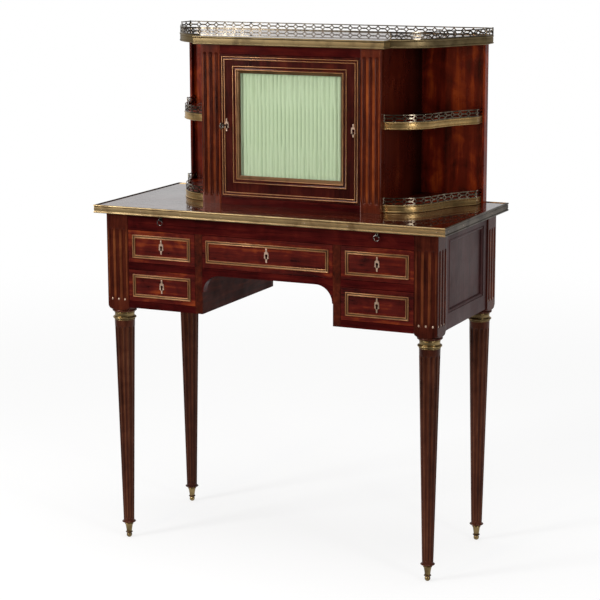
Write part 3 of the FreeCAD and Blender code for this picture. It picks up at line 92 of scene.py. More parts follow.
class NodeBench:
    """A node tree under construction, for a finish or for a Geometry Nodes tool."""

    def __init__(self, tree: bpy.types.NodeTree) -> None:
        """Start on an empty tree.

        Args:
            tree: The tree to fill. Its nodes are removed first.
        """
        self.tree = tree
        tree.nodes.clear()

    def node(self, kind: str, settings: dict | None = None, **inputs: object) -> bpy.types.Node:
        """Add a node and feed its inputs.

        Args:
            kind: The node's type name.
            settings: Properties of the node itself.
            **inputs: Input names, with _ for a space, or i and a number, to a value or an output socket.

        Returns:
            The new node.
        """
        made = self.tree.nodes.new(kind)
        for name, value in (settings or {}).items():
            setattr(made, name, value)
        for name, value in inputs.items():
            key = int(name[1:]) if name[0] == "i" and name[1:].isdigit() else name.replace("_", " ")
            self.feed(made.inputs[key], value)
        return made

    def feed(self, socket: Socket, value: object) -> None:
        """Link an output to a socket, or set the socket's own value. A colour is set as an opaque one.

        Args:
            socket: The input to feed.
            value: A node, whose first output is taken, an output socket, or a plain value.
        """
        if isinstance(value, bpy.types.Node):
            value = value.outputs[0]
        if isinstance(value, Socket):
            self.tree.links.new(value, socket)
        elif socket.type == "RGBA":
            socket.default_value = (*value, 1.0)
        else:
            socket.default_value = value

    def sum(self, operation: str, *terms: object) -> Socket:
        """Work out a sum on one to three terms.

        Args:
            operation: What the Math node does.
            *terms: Values or outputs, in the node's order.

        Returns:
            The result.
        """
        made = self.tree.nodes.new("ShaderNodeMath")
        made.operation = operation
        for socket, term in zip(made.inputs, terms):
            self.feed(socket, term)
        return made.outputs[0]

    def place(self) -> Socket:
        """Return the place on the object, in the object's own frame."""
        return self.node("ShaderNodeTexCoord").outputs["Object"]

    def hollow(self) -> Socket:
        """Return how deep a point lies in a flute or a fold, as mark_hollows stores it."""
        return self.node("ShaderNodeAttribute", {"attribute_name": HOLLOW}).outputs["Fac"]

    def noise(self, place: object, scale: float, detail: float, roughness: float = 0.5,
              distortion: float = 0.0) -> Socket:
        """Spread a cloudy pattern.

        Args:
            place: Where on the object.
            scale: How many patches there are to a metre.
            detail: How many finer layers it has.
            roughness: How strong the finer layers are.
            distortion: How much the patches are stirred.

        Returns:
            The pattern's strength, from 0 to 1.
        """
        return self.node("ShaderNodeTexNoise", Vector=place, Scale=scale, Detail=detail,
                         Roughness=roughness, Distortion=distortion).outputs[0]

    def graded(self, value: object, start: float, end: float, low: float = 0.0, high: float = 1.0,
               soft: bool = False) -> Socket:
        """Carry a value from one range over to another.

        Args:
            value: The value.
            start: Where its range starts.
            end: Where its range ends.
            low: The result at the start.
            high: The result at the end.
            soft: Whether it eases in and out.

        Returns:
            The result, held between both ends.
        """
        settings = {"interpolation_type": "SMOOTHSTEP" if soft else "LINEAR"}
        return self.node("ShaderNodeMapRange", settings, Value=value, From_Min=start, From_Max=end,
                         To_Min=low, To_Max=high).outputs[0]

    def mix(self, amount: object, under: object, over: object, blend: str = "MIX") -> Socket:
        """Lay one colour over another.

        Args:
            amount: How much of the upper colour shows, from 0 to 1.
            under: The lower colour.
            over: The upper colour.
            blend: How the upper colour works on the lower one.

        Returns:
            The mixed colour.
        """
        return self.node("ShaderNodeMix", {"data_type": "RGBA", "blend_type": blend}, i0=amount, i6=under,
                         i7=over).outputs[2]

    def length(self, vector: object) -> Socket:
        """Return the length of a vector."""
        return self.node("ShaderNodeVectorMath", {"operation": "LENGTH"}, i0=vector).outputs["Value"]

    def beyond(self, place: object, axis: Axis, limit: float) -> Socket:
        """Return how far a place lies past a limit, in metres, the same on both sides of the middle."""
        along = self.node("ShaderNodeSeparateXYZ", Vector=place).outputs[axis.value]
        return self.sum("SUBTRACT", self.sum("ABSOLUTE", along), limit * MM)


class Finish:
    """A finish that makes its material once and hands out the same one after that."""

    name: str
    _made: dict[str, bpy.types.Material] = {}

    @property
    def material(self) -> bpy.types.Material:
        """Make the material if this is the first piece in the finish.

        Returns:
            The finish as a Blender material.
        """
        if self.name not in Finish._made:
            material = bpy.data.materials.new(self.name)
            material.use_nodes = True
            bench = NodeBench(material.node_tree)
            bench.node("ShaderNodeOutputMaterial", Surface=self.surface(bench))
            Finish._made[self.name] = material
        return Finish._made[self.name]

    def surface(self, bench: NodeBench) -> object:
        """Build the finish's shader.

        Args:
            bench: The material's tree.

        Returns:
            The shader node or socket that the material ends in.
        """
        raise NotImplementedError


@dataclass(frozen=True)
class Mahogany(Finish):
    """Figured mahogany under french polish."""

    name: str
    grain: Axis = Axis.Z
    dark: Colour = (0.013, 0.0020, 0.0012)
    red: Colour = (0.056, 0.0078, 0.0030)
    light: Colour = (0.125, 0.024, 0.0080)
    figure: float = 26.0
    spread: float = 0.33
    stripe: float = 0.55
    roughness: float = 0.20
    specular: float = 0.42
    shine: Colour = (1.0, 0.51, 0.42)
    polish: float = 0.18
    polish_roughness: float = 0.05
    pores: float = 0.75
    pore_shade: Colour = (0.45, 0.33, 0.30)
    # These settings paint shade into the flutes, as dark wax, and a highlight onto the ridges between them,
    # as pale rubbing.
    wax: float = 0.0
    wax_shade: Colour = (0.22, 0.14, 0.13)
    wax_full: float = 0.9
    rubbed: float = 0.0
    rubbed_shade: Colour = (2.25, 3.2, 2.1)
    # These settings paint shade onto the wood towards an inner corner.
    corner: Point | None = None
    corner_shade: Colour = (0.10, 0.08, 0.08)
    corner_strength: float = 0.92
    corner_reach: Point = (14.0, 115.0)
    corner_lip: float = 4.5

    def surface(self, bench: NodeBench) -> object:
        """Build the wood's shader, with its figure, open pores, wax with painted shade in the flutes,
        rubbing with a painted highlight on the ridges, painted corner shade and a worn polish.

        Args:
            bench: The material's tree.

        Returns:
            The shader.
        """
        place = bench.place()
        along = bench.node("ShaderNodeMapping", Vector=place, Scale=self.stretched(across=1.0, along=0.07))
        ribbon = bench.noise(along, scale=self.figure * 5.5, detail=4.0, roughness=0.6)
        fibre = bench.node("ShaderNodeMapping", Vector=place, Scale=self.stretched(across=260.0, along=9.0))
        pits = bench.graded(bench.noise(fibre, scale=3.2, detail=3.0, roughness=0.7), 0.57, 0.70)
        bare = self.figured(bench, place, along, ribbon)
        colour = bench.mix(bench.sum("MULTIPLY", pits, self.pores), bare, self.pore_shade, "MULTIPLY")
        # Painted shade towards an inner corner.
        if self.corner:
            colour = self.darken_corner(bench, place, colour)
        # Painted shade in the flutes and a painted highlight on their ridges.
        colour = self.handled(bench, colour)
        wear = bench.noise(place, scale=9.0, detail=5.0, roughness=0.65)
        rough = bench.graded(wear, 0.3, 0.75, self.roughness * 0.75, self.roughness * 1.45)
        bump = bench.node("ShaderNodeBump", Strength=0.10, Distance=0.0004,
                          Height=bench.sum("SUBTRACT", bench.sum("MULTIPLY", ribbon, 0.4), pits))
        return bench.node("ShaderNodeBsdfPrincipled", Base_Color=colour, Roughness=rough, Normal=bump,
                          Specular_IOR_Level=self.specular, Specular_Tint=self.shine,
                          Coat_Weight=self.polish, Coat_Roughness=self.polish_roughness)

    def stretched(self, across: float, along: float) -> list[float]:
        """Return a pattern's scale on each axis, with one for the grain and one for the other two."""
        return [along if axis is self.grain else across for axis in Axis]

    def figured(self, bench: NodeBench, place: object, along: object, ribbon: object) -> bpy.types.Node:
        """Colour the bare wood with dark bands, ribbon and mottle.

        Args:
            bench: The material's tree.
            place: The place on the object.
            along: The same place, drawn out along the grain.
            ribbon: The strength of the fine ribbon.

        Returns:
            The ramp that holds the colour.
        """
        bend = bench.node("ShaderNodeTexNoise", Vector=place, Scale=5.0, Detail=2.0, Roughness=0.5)
        shifted = bench.node("ShaderNodeVectorMath", {"operation": "MULTIPLY_ADD"}, i0=bend.outputs["Color"],
                             i1=(0.035, 0.035, 0.035), i2=along)
        bands = bench.noise(shifted, scale=self.figure, detail=7.0, roughness=0.62, distortion=0.4)
        waves = bench.sum("SINE", bench.sum("MULTIPLY", bands, 34.0 * self.stripe))
        mottle = bench.noise(place, scale=21.0, detail=3.0, roughness=0.55, distortion=0.9)
        tone = bench.sum("MULTIPLY_ADD", waves, 0.09, bench.sum("MULTIPLY_ADD", ribbon, 0.62, -0.12))
        tone = bench.sum("ADD", tone, bench.sum("MULTIPLY", mottle, 0.52))
        ramp = bench.node("ShaderNodeValToRGB", Fac=tone)
        first, last = ramp.color_ramp.elements
        first.position, first.color = 0.52 - self.spread, (*self.dark, 1)
        last.position, last.color = 0.52 + self.spread, (*self.light, 1)
        ramp.color_ramp.elements.new(0.50).color = (*self.red, 1)
        return ramp

    def handled(self, bench: NodeBench, colour: object) -> Socket:
        """Paint shade into the flutes, as dark wax, and paint a highlight onto the ridges between them, as
        pale rubbing.

        Args:
            bench: The material's tree.
            colour: The colour of the wood so far.

        Returns:
            The colour with the wax and painted shade in the flutes and the rubbing and painted highlight on
            the ridges.
        """
        hollow = bench.hollow()
        for shade, full, share in ((self.wax_shade, self.wax_full, self.wax),
                                   (self.rubbed_shade, -1.0, self.rubbed)):
            amount = bench.graded(hollow, 0.0, full, 0.0, share, soft=True)
            colour = bench.mix(amount, colour, shade, "MULTIPLY")
        return colour

    def darken_corner(self, bench: NodeBench, place: object, colour: object) -> Socket:
        """Paint shade onto the wood towards an upright inner corner, on both sides of the middle: a darker
        colour stands in for the shade that falls there.

        Args:
            bench: The material's tree.
            place: The place on the object.
            colour: The colour of the wood so far.

        Returns:
            The colour, darkened by painted shade.
        """
        corner_x, corner_y = self.corner
        deep = bench.node("ShaderNodeSeparateXYZ", Vector=place).outputs[Axis.Y.value]
        away = bench.length(bench.node("ShaderNodeCombineXYZ", X=bench.beyond(place, Axis.X, corner_x),
                                       Y=bench.sum("SUBTRACT", deep, corner_y * MM)))
        near = bench.graded(away, self.corner_reach[0] * MM, self.corner_reach[1] * MM,
                            self.corner_strength, 0.0, soft=True)
        inside = bench.sum("LESS_THAN", deep, (corner_y + self.corner_lip) * MM)
        return bench.mix(bench.sum("MULTIPLY", near, inside), colour, self.corner_shade, "MULTIPLY")


@dataclass(frozen=True)
class Brass(Finish):
    """Old gilt brass, rubbed bright in places and brown in others."""

    name: str
    bright: Colour = (0.44, 0.315, 0.155)
    brown: Colour = (0.20, 0.130, 0.060)
    tarnish: float = 0.5
    roughness: float = 0.30
    grain: float = 24.0
    metal: float = 0.82
    # These settings paint shade and dark reflections onto the two short sides of a band.
    dull_sides: Point | None = None
    dull_shade: Colour = (0.26, 0.28, 0.38)

    def surface(self, bench: NodeBench) -> object:
        """Build the metal's shader, with tarnish in soft patches and fine rubbing marks.

        Args:
            bench: The material's tree.

        Returns:
            The shader.
        """
        place = bench.place()
        patches = bench.noise(place, scale=self.grain, detail=3.0, distortion=0.6)
        spots = bench.noise(place, scale=self.grain * 30, detail=2.0)
        mixed = bench.sum("MULTIPLY_ADD", spots, 0.14, bench.sum("MULTIPLY", patches, 0.9))
        cover = bench.graded(mixed, 0.62 - self.tarnish * 0.36, 0.74, soft=True)
        colour = bench.mix(cover, self.bright, self.brown)
        # Painted shade on the short sides.
        if self.dull_sides:
            colour = self.dull(bench, place, colour)
        rough = bench.sum("MULTIPLY_ADD", cover, 0.10, self.roughness)
        bump = bench.node("ShaderNodeBump", Strength=0.012, Distance=0.0002, Height=spots)
        return bench.node("ShaderNodeBsdfPrincipled", Base_Color=colour, Metallic=self.metal,
                          Roughness=rough, Normal=bump)

    def dull(self, bench: NodeBench, place: object, colour: object) -> Socket:
        """Paint shade onto the metal on the two short sides of a rectangle, up to its mitred corners: a
        darker, greyer colour stands in for the shade and dark reflections there.

        Args:
            bench: The material's tree.
            place: The place on the object.
            colour: The colour of the metal so far.

        Returns:
            The colour, with painted shade on the short sides.
        """
        half_x, half_y = self.dull_sides
        on_short_side = bench.sum("GREATER_THAN", bench.beyond(place, Axis.X, half_x),
                                  bench.beyond(place, Axis.Y, half_y))
        return bench.mix(on_short_side, colour, self.dull_shade, "MULTIPLY")


@dataclass(frozen=True)
class Silk(Finish):
    """Pale green ribbed silk, a little faded."""

    name: str
    cloth: Colour = (0.570, 0.670, 0.430)
    faded: Colour = (0.690, 0.765, 0.550)
    # The fold colour paints shade towards the back of each pleat.
    valley: Colour = (0.34, 0.42, 0.33)
    valley_power: float = 4.5

    def surface(self, bench: NodeBench) -> object:
        """Build the cloth's shader, with fine cross ribs, upright threads, painted shade in the folds and a
        soft sheen.

        Args:
            bench: The material's tree.

        Returns:
            The shader.
        """
        place = bench.place()
        stain = bench.noise(place, scale=14.0, detail=4.0)
        slub = bench.node("ShaderNodeMapping", Vector=place, Scale=(900.0, 900.0, 25.0))
        thread = bench.noise(slub, scale=1.0, detail=2.0)
        rib = bench.node("ShaderNodeMapping", Vector=place, Scale=(25.0, 25.0, 1500.0))
        cross = bench.noise(rib, scale=1.0, detail=1.0)
        fade = bench.sum("MULTIPLY_ADD", thread, 0.45, bench.sum("MULTIPLY", stain, 0.6))
        # Painted shade deepens towards the back of each fold.
        colour = bench.mix(bench.sum("POWER", bench.hollow(), self.valley_power),
                           bench.mix(fade, self.cloth, self.faded), self.valley, "MULTIPLY")
        bump = bench.node("ShaderNodeBump", Strength=0.25, Distance=0.0002,
                          Height=bench.sum("ADD", thread, cross))
        return bench.node("ShaderNodeBsdfPrincipled", Base_Color=colour, Roughness=0.62, Normal=bump,
                          Specular_IOR_Level=0.3, Sheen_Weight=0.25, Sheen_Roughness=0.4)


@dataclass(frozen=True)
class Pane(Finish):
    """Thin clear glass with a green edge tint."""

    name: str
    mirroring: float = 0.03
    clear: Colour = (0.96, 0.985, 0.975)
    mirrored: Colour = (0.9, 0.93, 0.95)

    def surface(self, bench: NodeBench) -> object:
        """Build clear glass with a faint, slightly rippled mirror image.

        Args:
            bench: The material's tree.

        Returns:
            The shader.
        """
        ripple = bench.noise(bench.place(), scale=6.0, detail=1.0)
        bump = bench.node("ShaderNodeBump", Strength=0.05, Distance=0.001, Height=ripple)
        clear = bench.node("ShaderNodeBsdfTransparent", Color=self.clear)
        mirror = bench.node("ShaderNodeBsdfGlossy", Color=self.mirrored, Roughness=0.03, Normal=bump)
        return bench.node("ShaderNodeMixShader", i0=self.mirroring, i1=clear, i2=mirror)


@dataclass(frozen=True)
class TooledLeather(Finish):
    """Green writing leather with a gilt line round it."""

    name: str
    half_x: float
    centre_y: float
    half_y: float
    line_inset: float
    line_gap: float
    line_halves: Point = (0.9, 0.45)
    hide: Colour = (0.030, 0.052, 0.026)
    worn_hide: Colour = (0.0570, 0.0988, 0.0494)
    gilt: Colour = (0.55, 0.38, 0.14)

    def surface(self, bench: NodeBench) -> object:
        """Build the leather's shader, with its grain and two gilt lines worked out from its edges.

        Args:
            bench: The material's tree.

        Returns:
            The shader.
        """
        place = bench.place()
        centred = bench.node("ShaderNodeMapping", Vector=place, Location=(0.0, -self.centre_y * MM, 0.0))
        past_edge = bench.sum("MAXIMUM", bench.beyond(centred, Axis.X, self.half_x),
                              bench.beyond(centred, Axis.Y, self.half_y))
        lines = 0.0
        for number, half in enumerate(self.line_halves):
            inset = self.line_inset + number * self.line_gap
            gap = bench.sum("ABSOLUTE", bench.sum("ADD", past_edge, inset * MM))
            lines = bench.sum("MAXIMUM", lines, bench.sum("LESS_THAN", gap, half * MM))
        cells = bench.node("ShaderNodeTexVoronoi", Vector=place, Scale=950.0)
        worn = bench.mix(bench.noise(place, scale=24.0, detail=4.0), self.hide, self.worn_hide)
        bump = bench.node("ShaderNodeBump", Strength=0.3, Distance=0.0003, Height=cells)
        return bench.node("ShaderNodeBsdfPrincipled", Base_Color=bench.mix(lines, worn, self.gilt),
                          Metallic=lines, Roughness=0.45, Normal=bump)


WOOD_UPRIGHT = Mahogany("mahogany_upright", Axis.Z, dark=(0.010, 0.0015, 0.0016),
                        red=(0.044, 0.0056, 0.0040), light=(0.110, 0.019, 0.0085), specular=0.26,
                        polish=0.12)
WOOD_ACROSS = Mahogany("mahogany_across", Axis.X, dark=(0.014, 0.0012, 0.0016), red=(0.050, 0.0038, 0.0036),
                       light=(0.112, 0.012, 0.0072), specular=0.10, polish=0.04)
WOOD_PLAIN = Mahogany("mahogany_plain", Axis.Z, roughness=0.42, specular=0.15, polish=0.0)
WOOD_DEEP = Mahogany("mahogany_deep", Axis.Y, roughness=0.5, specular=0.1, polish=0.0)
# The case's sides and their mouldings take a darker, greyer copy of the mahogany, which paints the shade and
# grey sheen of the side faces.
WOOD_SIDE_SHADED = Mahogany("mahogany_side", Axis.Z, dark=(0.032, 0.0100, 0.0095), red=(0.064, 0.0210, 0.0200),
                     light=(0.100, 0.0380, 0.0350), roughness=0.34, specular=0.18, shine=(0.9, 0.84, 0.86),
                     polish=0.0)
WOOD_FRONT = Mahogany("mahogany_drawer_front", Axis.X, dark=(0.022, 0.0016, 0.0020),
                      red=(0.086, 0.0074, 0.0048), light=(0.290, 0.052, 0.0110), figure=19.0, spread=0.25,
                      specular=0.5)
WOOD_TOP = Mahogany("mahogany_polished_top", Axis.X, roughness=0.25, specular=0.1, polish=1.0,
                    polish_roughness=0.03)
# The wax and rubbing settings below paint shade into the flutes and a highlight onto their ridges.
WOOD_STILE = Mahogany("mahogany_stile", Axis.Z, dark=(0.020, 0.0026, 0.0014), red=(0.088, 0.0125, 0.0044),
                      light=(0.160, 0.028, 0.009), specular=0.35, polish=0.04, wax=0.42, rubbed=1.0)
WOOD_LEG = Mahogany("mahogany_leg", Axis.Z, dark=(0.020, 0.0048, 0.0026), red=(0.066, 0.0175, 0.0090),
                    light=(0.120, 0.040, 0.022), specular=0.30, polish=0.06, wax=0.24, rubbed=0.22)
WOOD_POST = Mahogany("mahogany_post", Axis.Z, dark=(0.016, 0.0028, 0.0020), red=(0.062, 0.0112, 0.0058),
                     light=(0.115, 0.026, 0.010), specular=0.15, polish=0.03, wax=0.06, rubbed=0.95)
# The niche wood paints shade into its inner back corners; the inner-side wood below keeps that painted
# shade.
WOOD_NICHE = Mahogany("mahogany_niche", Axis.Z, dark=(0.030, 0.0024, 0.0014), red=(0.155, 0.0125, 0.0040),
                      light=(0.520, 0.080, 0.0110), figure=12.0, spread=0.28, stripe=0.8, roughness=0.28,
                      specular=0.26, polish=0.06, pores=0.35, corner=(209.0, 172.0))
WOOD_INNER = replace(WOOD_NICHE, name="mahogany_inner_side", dark=(0.028, 0.0026, 0.0014),
                     red=(0.066, 0.0076, 0.0028), light=(0.140, 0.026, 0.0080), figure=10.0, spread=0.36,
                     stripe=0.6)
OAK = Mahogany("oak_lining", Axis.Y, dark=(0.11, 0.060, 0.028), red=(0.24, 0.150, 0.075),
               light=(0.36, 0.250, 0.140), figure=30.0, roughness=0.55, specular=0.2, polish=0.0)
# The desk's brass edge gets painted shade on its two short ends.
BRASS = Brass("brass_moulding", dull_sides=(408.0, 195.0))
BRASS_CORNICE = Brass("brass_cornice", bright=(0.25, 0.182, 0.086), brown=(0.12, 0.086, 0.040),
                      roughness=0.38)
BRASS_BAND = Brass("brass_band", bright=(0.64, 0.425, 0.175), brown=(0.27, 0.180, 0.072), roughness=0.27)
BRASS_LINE = Brass("brass_line", bright=(0.54, 0.27, 0.118), brown=(0.38, 0.175, 0.078), roughness=0.30)
BRASS_SLOPE = Brass("brass_slope", bright=(0.23, 0.118, 0.055), brown=(0.13, 0.066, 0.032), roughness=0.34)
BRASS_PLATE = Brass("brass_plate", bright=(0.62, 0.44, 0.330), brown=(0.36, 0.245, 0.165), roughness=0.34,
                    metal=0.45)
BRASS_TURNED = Brass("brass_turned", bright=(0.46, 0.33, 0.150), brown=(0.20, 0.135, 0.062), roughness=0.31,
                     grain=40.0, metal=1.0)
BRASS_DARK = Brass("brass_dark", bright=(0.17, 0.10, 0.05), brown=(0.075, 0.042, 0.022), tarnish=0.6,
                   roughness=0.36)
BRASS_GALLERY = Brass("brass_gallery", bright=(0.36, 0.30, 0.22), brown=(0.060, 0.045, 0.030), tarnish=0.85,
                      roughness=0.15, grain=110.0, metal=1.0)
STEEL = Brass("key_steel", bright=(0.30, 0.27, 0.25), brown=(0.09, 0.075, 0.068), roughness=0.18, metal=1.0)
IRON = Brass("lock_iron", bright=(0.060, 0.055, 0.045), brown=(0.022, 0.018, 0.012), roughness=0.48,
             metal=1.0)
SILK = Silk("green_silk")
GLASS = Pane("door_pane")


# Meshes -------------------------------------------------------------------

def skin(rings: Sequence[Line], loop: bool = False) -> Shell:
    """Join rings of equally many points into a closed skin.

    Args:
        rings: The rings in order, each a closed line of points in millimetres.
        loop: Whether the last ring joins the first. If not, both are filled in.

    Returns:
        A new bmesh in metres.
    """
    mesh = bmesh.new()
    rows = [[mesh.verts.new(point * MM) for point in ring] for ring in rings]
    count = len(rings[0])
    pairs = list(zip(rows, rows[1:])) + ([(rows[-1], rows[0])] if loop else [])
    for near, far in pairs:
        for index in range(count):
            after = (index + 1) % count
            mesh.faces.new((near[index], near[after], far[after], far[index]))
    if not loop:
        mesh.faces.new(rows[0])
        mesh.faces.new(rows[-1])
    return mesh


def settled(name: str, mesh: Shell) -> bpy.types.Mesh:
    """Turn a bmesh into mesh data and free it.

    Args:
        name: The name of the mesh data.
        mesh: The bmesh.

    Returns:
        The mesh data.
    """
    data = bpy.data.meshes.new(name)
    mesh.to_mesh(data)
    mesh.free()
    return data


def shown(name: str, data: bpy.types.ID) -> bpy.types.Object:
    """Put data in the scene as an object.

    Args:
        name: The object's name.
        data: A mesh, a curve, a lamp or a camera.

    Returns:
        The new object.
    """
    made = bpy.data.objects.new(name, data)
    bpy.context.scene.collection.objects.link(made)
    return made


def mark_hollows(mesh: Shell, shares: Iterable[float]) -> Shell:
    """Store on each point how deep it lies in a flute or a fold, for the painted shade in the hollows and
    the painted highlight on the ridges.

    Args:
        mesh: The shell to mark.
        shares: For each point, its share of the full depth: 1 at the bottom, -1 on a ridge between flutes,
            which gets the painted highlight.

    Returns:
        The same shell.
    """
    layer = mesh.verts.layers.float.new(HOLLOW)
    for vertex, share in zip(mesh.verts, shares):
        vertex[layer] = share
    return mesh


def merged(meshes: Iterable[Shell]) -> Shell:
    """Put several bmeshes into one and free them.

    Args:
        meshes: The shells to put together.

    Returns:
        One bmesh that holds them all.
    """
    whole = bmesh.new()
    for mesh in meshes:
        scratch = settled("scratch", mesh)
        whole.from_mesh(scratch)
        bpy.data.meshes.remove(scratch)
    return whole


def piece(name: str, mesh: Shell, finish: Finish, body: str = "case",
          nodes: Sequence[str] = (), smooth: float = 35.0) -> bpy.types.Object:
    """Finish a mesh as a named piece that rides on a body.

    Args:
        name: The piece's name.
        mesh: Its shells. They are freed.
        finish: What it is made of.
        body: The body that it rides on.
        nodes: The solids that it stands for.
        smooth: Edges flatter than this angle, in degrees, are shaded round.

    Returns:
        The finished object.
    """
    bmesh.ops.remove_doubles(mesh, verts=mesh.verts[:], dist=1e-6)
    bmesh.ops.recalc_face_normals(mesh, faces=mesh.faces[:])
    return adopt(name, settled(name, mesh), finish, body, nodes, smooth)


def adopt(name: str, data: bpy.types.Mesh, finish: Finish, body: str, nodes: Sequence[str],
          smooth: float) -> bpy.types.Object:
    """Put finished mesh data in the scene as a piece that rides on a body.

    Args:
        name: The piece's name.
        data: Its mesh.
        finish: What it is made of.
        body: The body that it rides on.
        nodes: The solids that it stands for.
        smooth: Edges flatter than this angle, in degrees, are shaded round.

    Returns:
        The finished object.
    """
    data.shade_smooth()
    data.set_sharp_from_angle(angle=math.radians(smooth))
    made = shown(name, data)
    data.materials.clear()
    data.materials.append(finish.material)
    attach(made, body)
    if nodes:
        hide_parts(*nodes)
    LOG.info("%s rides on %s with %d faces", name, body, len(data.polygons))
    return made


def dress(finish: Finish, *nodes: str) -> None:
    """Give a finish to solids that are shown as they are.

    Args:
        finish: What they are made of.
        *nodes: The solids.
    """
    for name in nodes:
        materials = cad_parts[name].data.materials
        materials.clear()
        materials.append(finish.material)
        LOG.info("%s is finished in %s", name, finish.name)


def dress_behind(node: str, front: Finish, back: Finish, limit: float) -> None:
    """Give a solid one finish at its front and another on every face that lies behind a limit.

    Args:
        node: The solid.
        front: The finish that shows from the front.
        back: The finish behind the limit.
        limit: The place along Y, in millimetres, past which a face is behind.
    """
    dress(front, node)
    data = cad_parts[node].data
    data.materials.append(back.material)
    for polygon in data.polygons:
        behind = all(data.vertices[index].co.y > limit * MM for index in polygon.vertices)
        polygon.material_index = 1 if behind else 0


def box_of(node: str) -> tuple[Vector, Vector]:
    """Return a node's lowest and highest corner in millimetres."""
    low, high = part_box(node)
    return low / MM, high / MM


def arc(centre: Point, radius: float, start: float, end: float, steps: int = 6) -> list[Point]:
    """Return points round part of a circle.

    Args:
        centre: The circle's centre.
        radius: Its radius.
        start: The first angle, in degrees.
        end: The last angle, in degrees.
        steps: How many straight pieces stand for it.

    Returns:
        The points, both ends included.
    """
    angles = [math.radians(start + (end - start) * step / steps) for step in range(steps + 1)]
    return [(centre[0] + radius * math.cos(angle), centre[1] + radius * math.sin(angle)) for angle in angles]


def lathe(outline: Sequence[Point], x: float, y: float, steps: int = 40) -> Shell:
    """Turn an outline of radius and height about an upright line.

    Args:
        outline: Points from one end to the other. Both ends may be open rims, which are then closed flat.
        x: Where the line stands.
        y: Where the line stands.
        steps: Faces round the turning.

    Returns:
        The turned shell.
    """
    angles = [math.tau * step / steps for step in range(steps)]
    return skin([[Vector((x + radius * math.cos(angle), y + radius * math.sin(angle), height))
                  for angle in angles] for radius, height in outline])


def framed(low: Point, high: Point, profile: Sequence[Point], lift: Lift) -> Shell:
    """Run a moulding round a rectangle with mitred corners.

    Args:
        low: The rectangle's lower outer corner.
        high: Its upper outer corner.
        profile: Points as (distance in from the outer edge, height proud of the face).
        lift: Turns (along, up, proud) into a point of the frame.

    Returns:
        The moulding's closed shell.
    """
    corners = ((low[0], low[1], 1, 1), (high[0], low[1], -1, 1), (high[0], high[1], -1, -1),
               (low[0], high[1], 1, -1))
    return skin([[lift(u + inset * side_u, v + inset * side_v, proud) for inset, proud in profile]
                 for u, v, side_u, side_v in corners], loop=True)


def facing_front(y: float) -> Lift:
    """Return the lift for a moulding on a face that looks towards -Y."""
    return lambda along, up, proud: Vector((along, y - proud, up))


def run_along(path: Sequence[Vector], profile: Sequence[Point]) -> Shell:
    """Run a profile along a level path, mitred at its corners.

    Args:
        path: Points along the edge, with the outside on the right of the direction of travel.
        profile: Points as (distance outwards, height above the path).

    Returns:
        The closed shell.
    """
    rings = []
    for index, point in enumerate(path):
        before = (point - path[index - 1]) if index else (path[1] - point)
        after = (path[index + 1] - point) if index < len(path) - 1 else before
        sides = [Vector((step.y, -step.x, 0)).normalized() for step in (before, after)]
        outward = (sides[0] + sides[1]) / (1 + sides[0].dot(sides[1]))
        rings.append([point + outward * out + Vector((0, 0, up)) for out, up in profile])
    return skin(rings)


def reeded_profile(thickness: float, height: float, bead: float, proud: float) -> list[Point]:
    """Return the section of a brass edge: a round bead at top and bottom and a shallow raised web between.

    Args:
        thickness: How far the web stands out.
        height: The edge's height.
        bead: The beads' radius.
        proud: How much further the beads stand out.

    Returns:
        Points as (out, up), starting at the inner lower corner.
    """
    centre = thickness + proud - bead
    quirk, crown = thickness - 0.5, thickness + 0.25
    shoulder = 2.1 * bead
    web = height - 4 * bead
    return [(0, 0), *arc((centre, bead), bead, -90, 80, 6), (quirk, shoulder), (quirk, shoulder + 0.5),
            (thickness, shoulder + 0.9), (crown, 2 * bead + web / 2),
            (thickness, height - shoulder - 0.9), (quirk, height - shoulder - 0.5),
            (quirk, height - shoulder), *arc((centre, height - bead), bead, -80, 90, 6), (0, height)]


# Geometry Nodes tools -----------------------------------------------------

class GrowingTool:
    """A Geometry Nodes tree that grows a mesh from named inputs."""

    def __init__(self, name: str, inputs: dict[str, str]) -> None:
        """Make the tree with its interface.

        Args:
            name: The tree's name.
            inputs: The name of each input to its socket type.
        """
        tree = bpy.data.node_groups.new(name, "GeometryNodeTree")
        self.bench = NodeBench(tree)
        self.sockets = {label: tree.interface.new_socket(name=label, in_out="INPUT", socket_type=kind)
                        for label, kind in inputs.items()}
        tree.interface.new_socket(name="Mesh", in_out="OUTPUT", socket_type="NodeSocketGeometry")
        self.entry = self.bench.node("NodeGroupInput")
        self.name = name

    def shape_of(self, label: str) -> Socket:
        """Return the geometry of the object that an input names."""
        named = self.bench.node("GeometryNodeObjectInfo", Object=self.entry.outputs[label])
        return named.outputs["Geometry"]

    def close(self, shape: object) -> None:
        """End the tree: make instances real, set the material and hand the mesh out.

        Args:
            shape: The geometry to hand out.
        """
        real = self.bench.node("GeometryNodeRealizeInstances", Geometry=shape)
        dressed = self.bench.node("GeometryNodeSetMaterial", Geometry=real,
                                  Material=self.entry.outputs["Material"])
        self.bench.node("NodeGroupOutput", Mesh=dressed)

    def grow(self, name: str, values: dict[str, object]) -> bpy.types.Mesh:
        """Run the tree once and keep the result as plain mesh data.

        Args:
            name: The name of the new mesh.
            values: The name of each input to its value.

        Returns:
            The finished mesh.
        """
        host = shown(f"{name}_host", bpy.data.meshes.new(f"{name}_host"))
        modifier = host.modifiers.new(self.name, "NODES")
        modifier.node_group = self.bench.tree
        for label, value in values.items():
            modifier[self.sockets[label].identifier] = value
        graph = bpy.context.evaluated_depsgraph_get()
        result = bpy.data.meshes.new_from_object(host.evaluated_get(graph))
        result.name = name
        bpy.data.objects.remove(host)
        return result


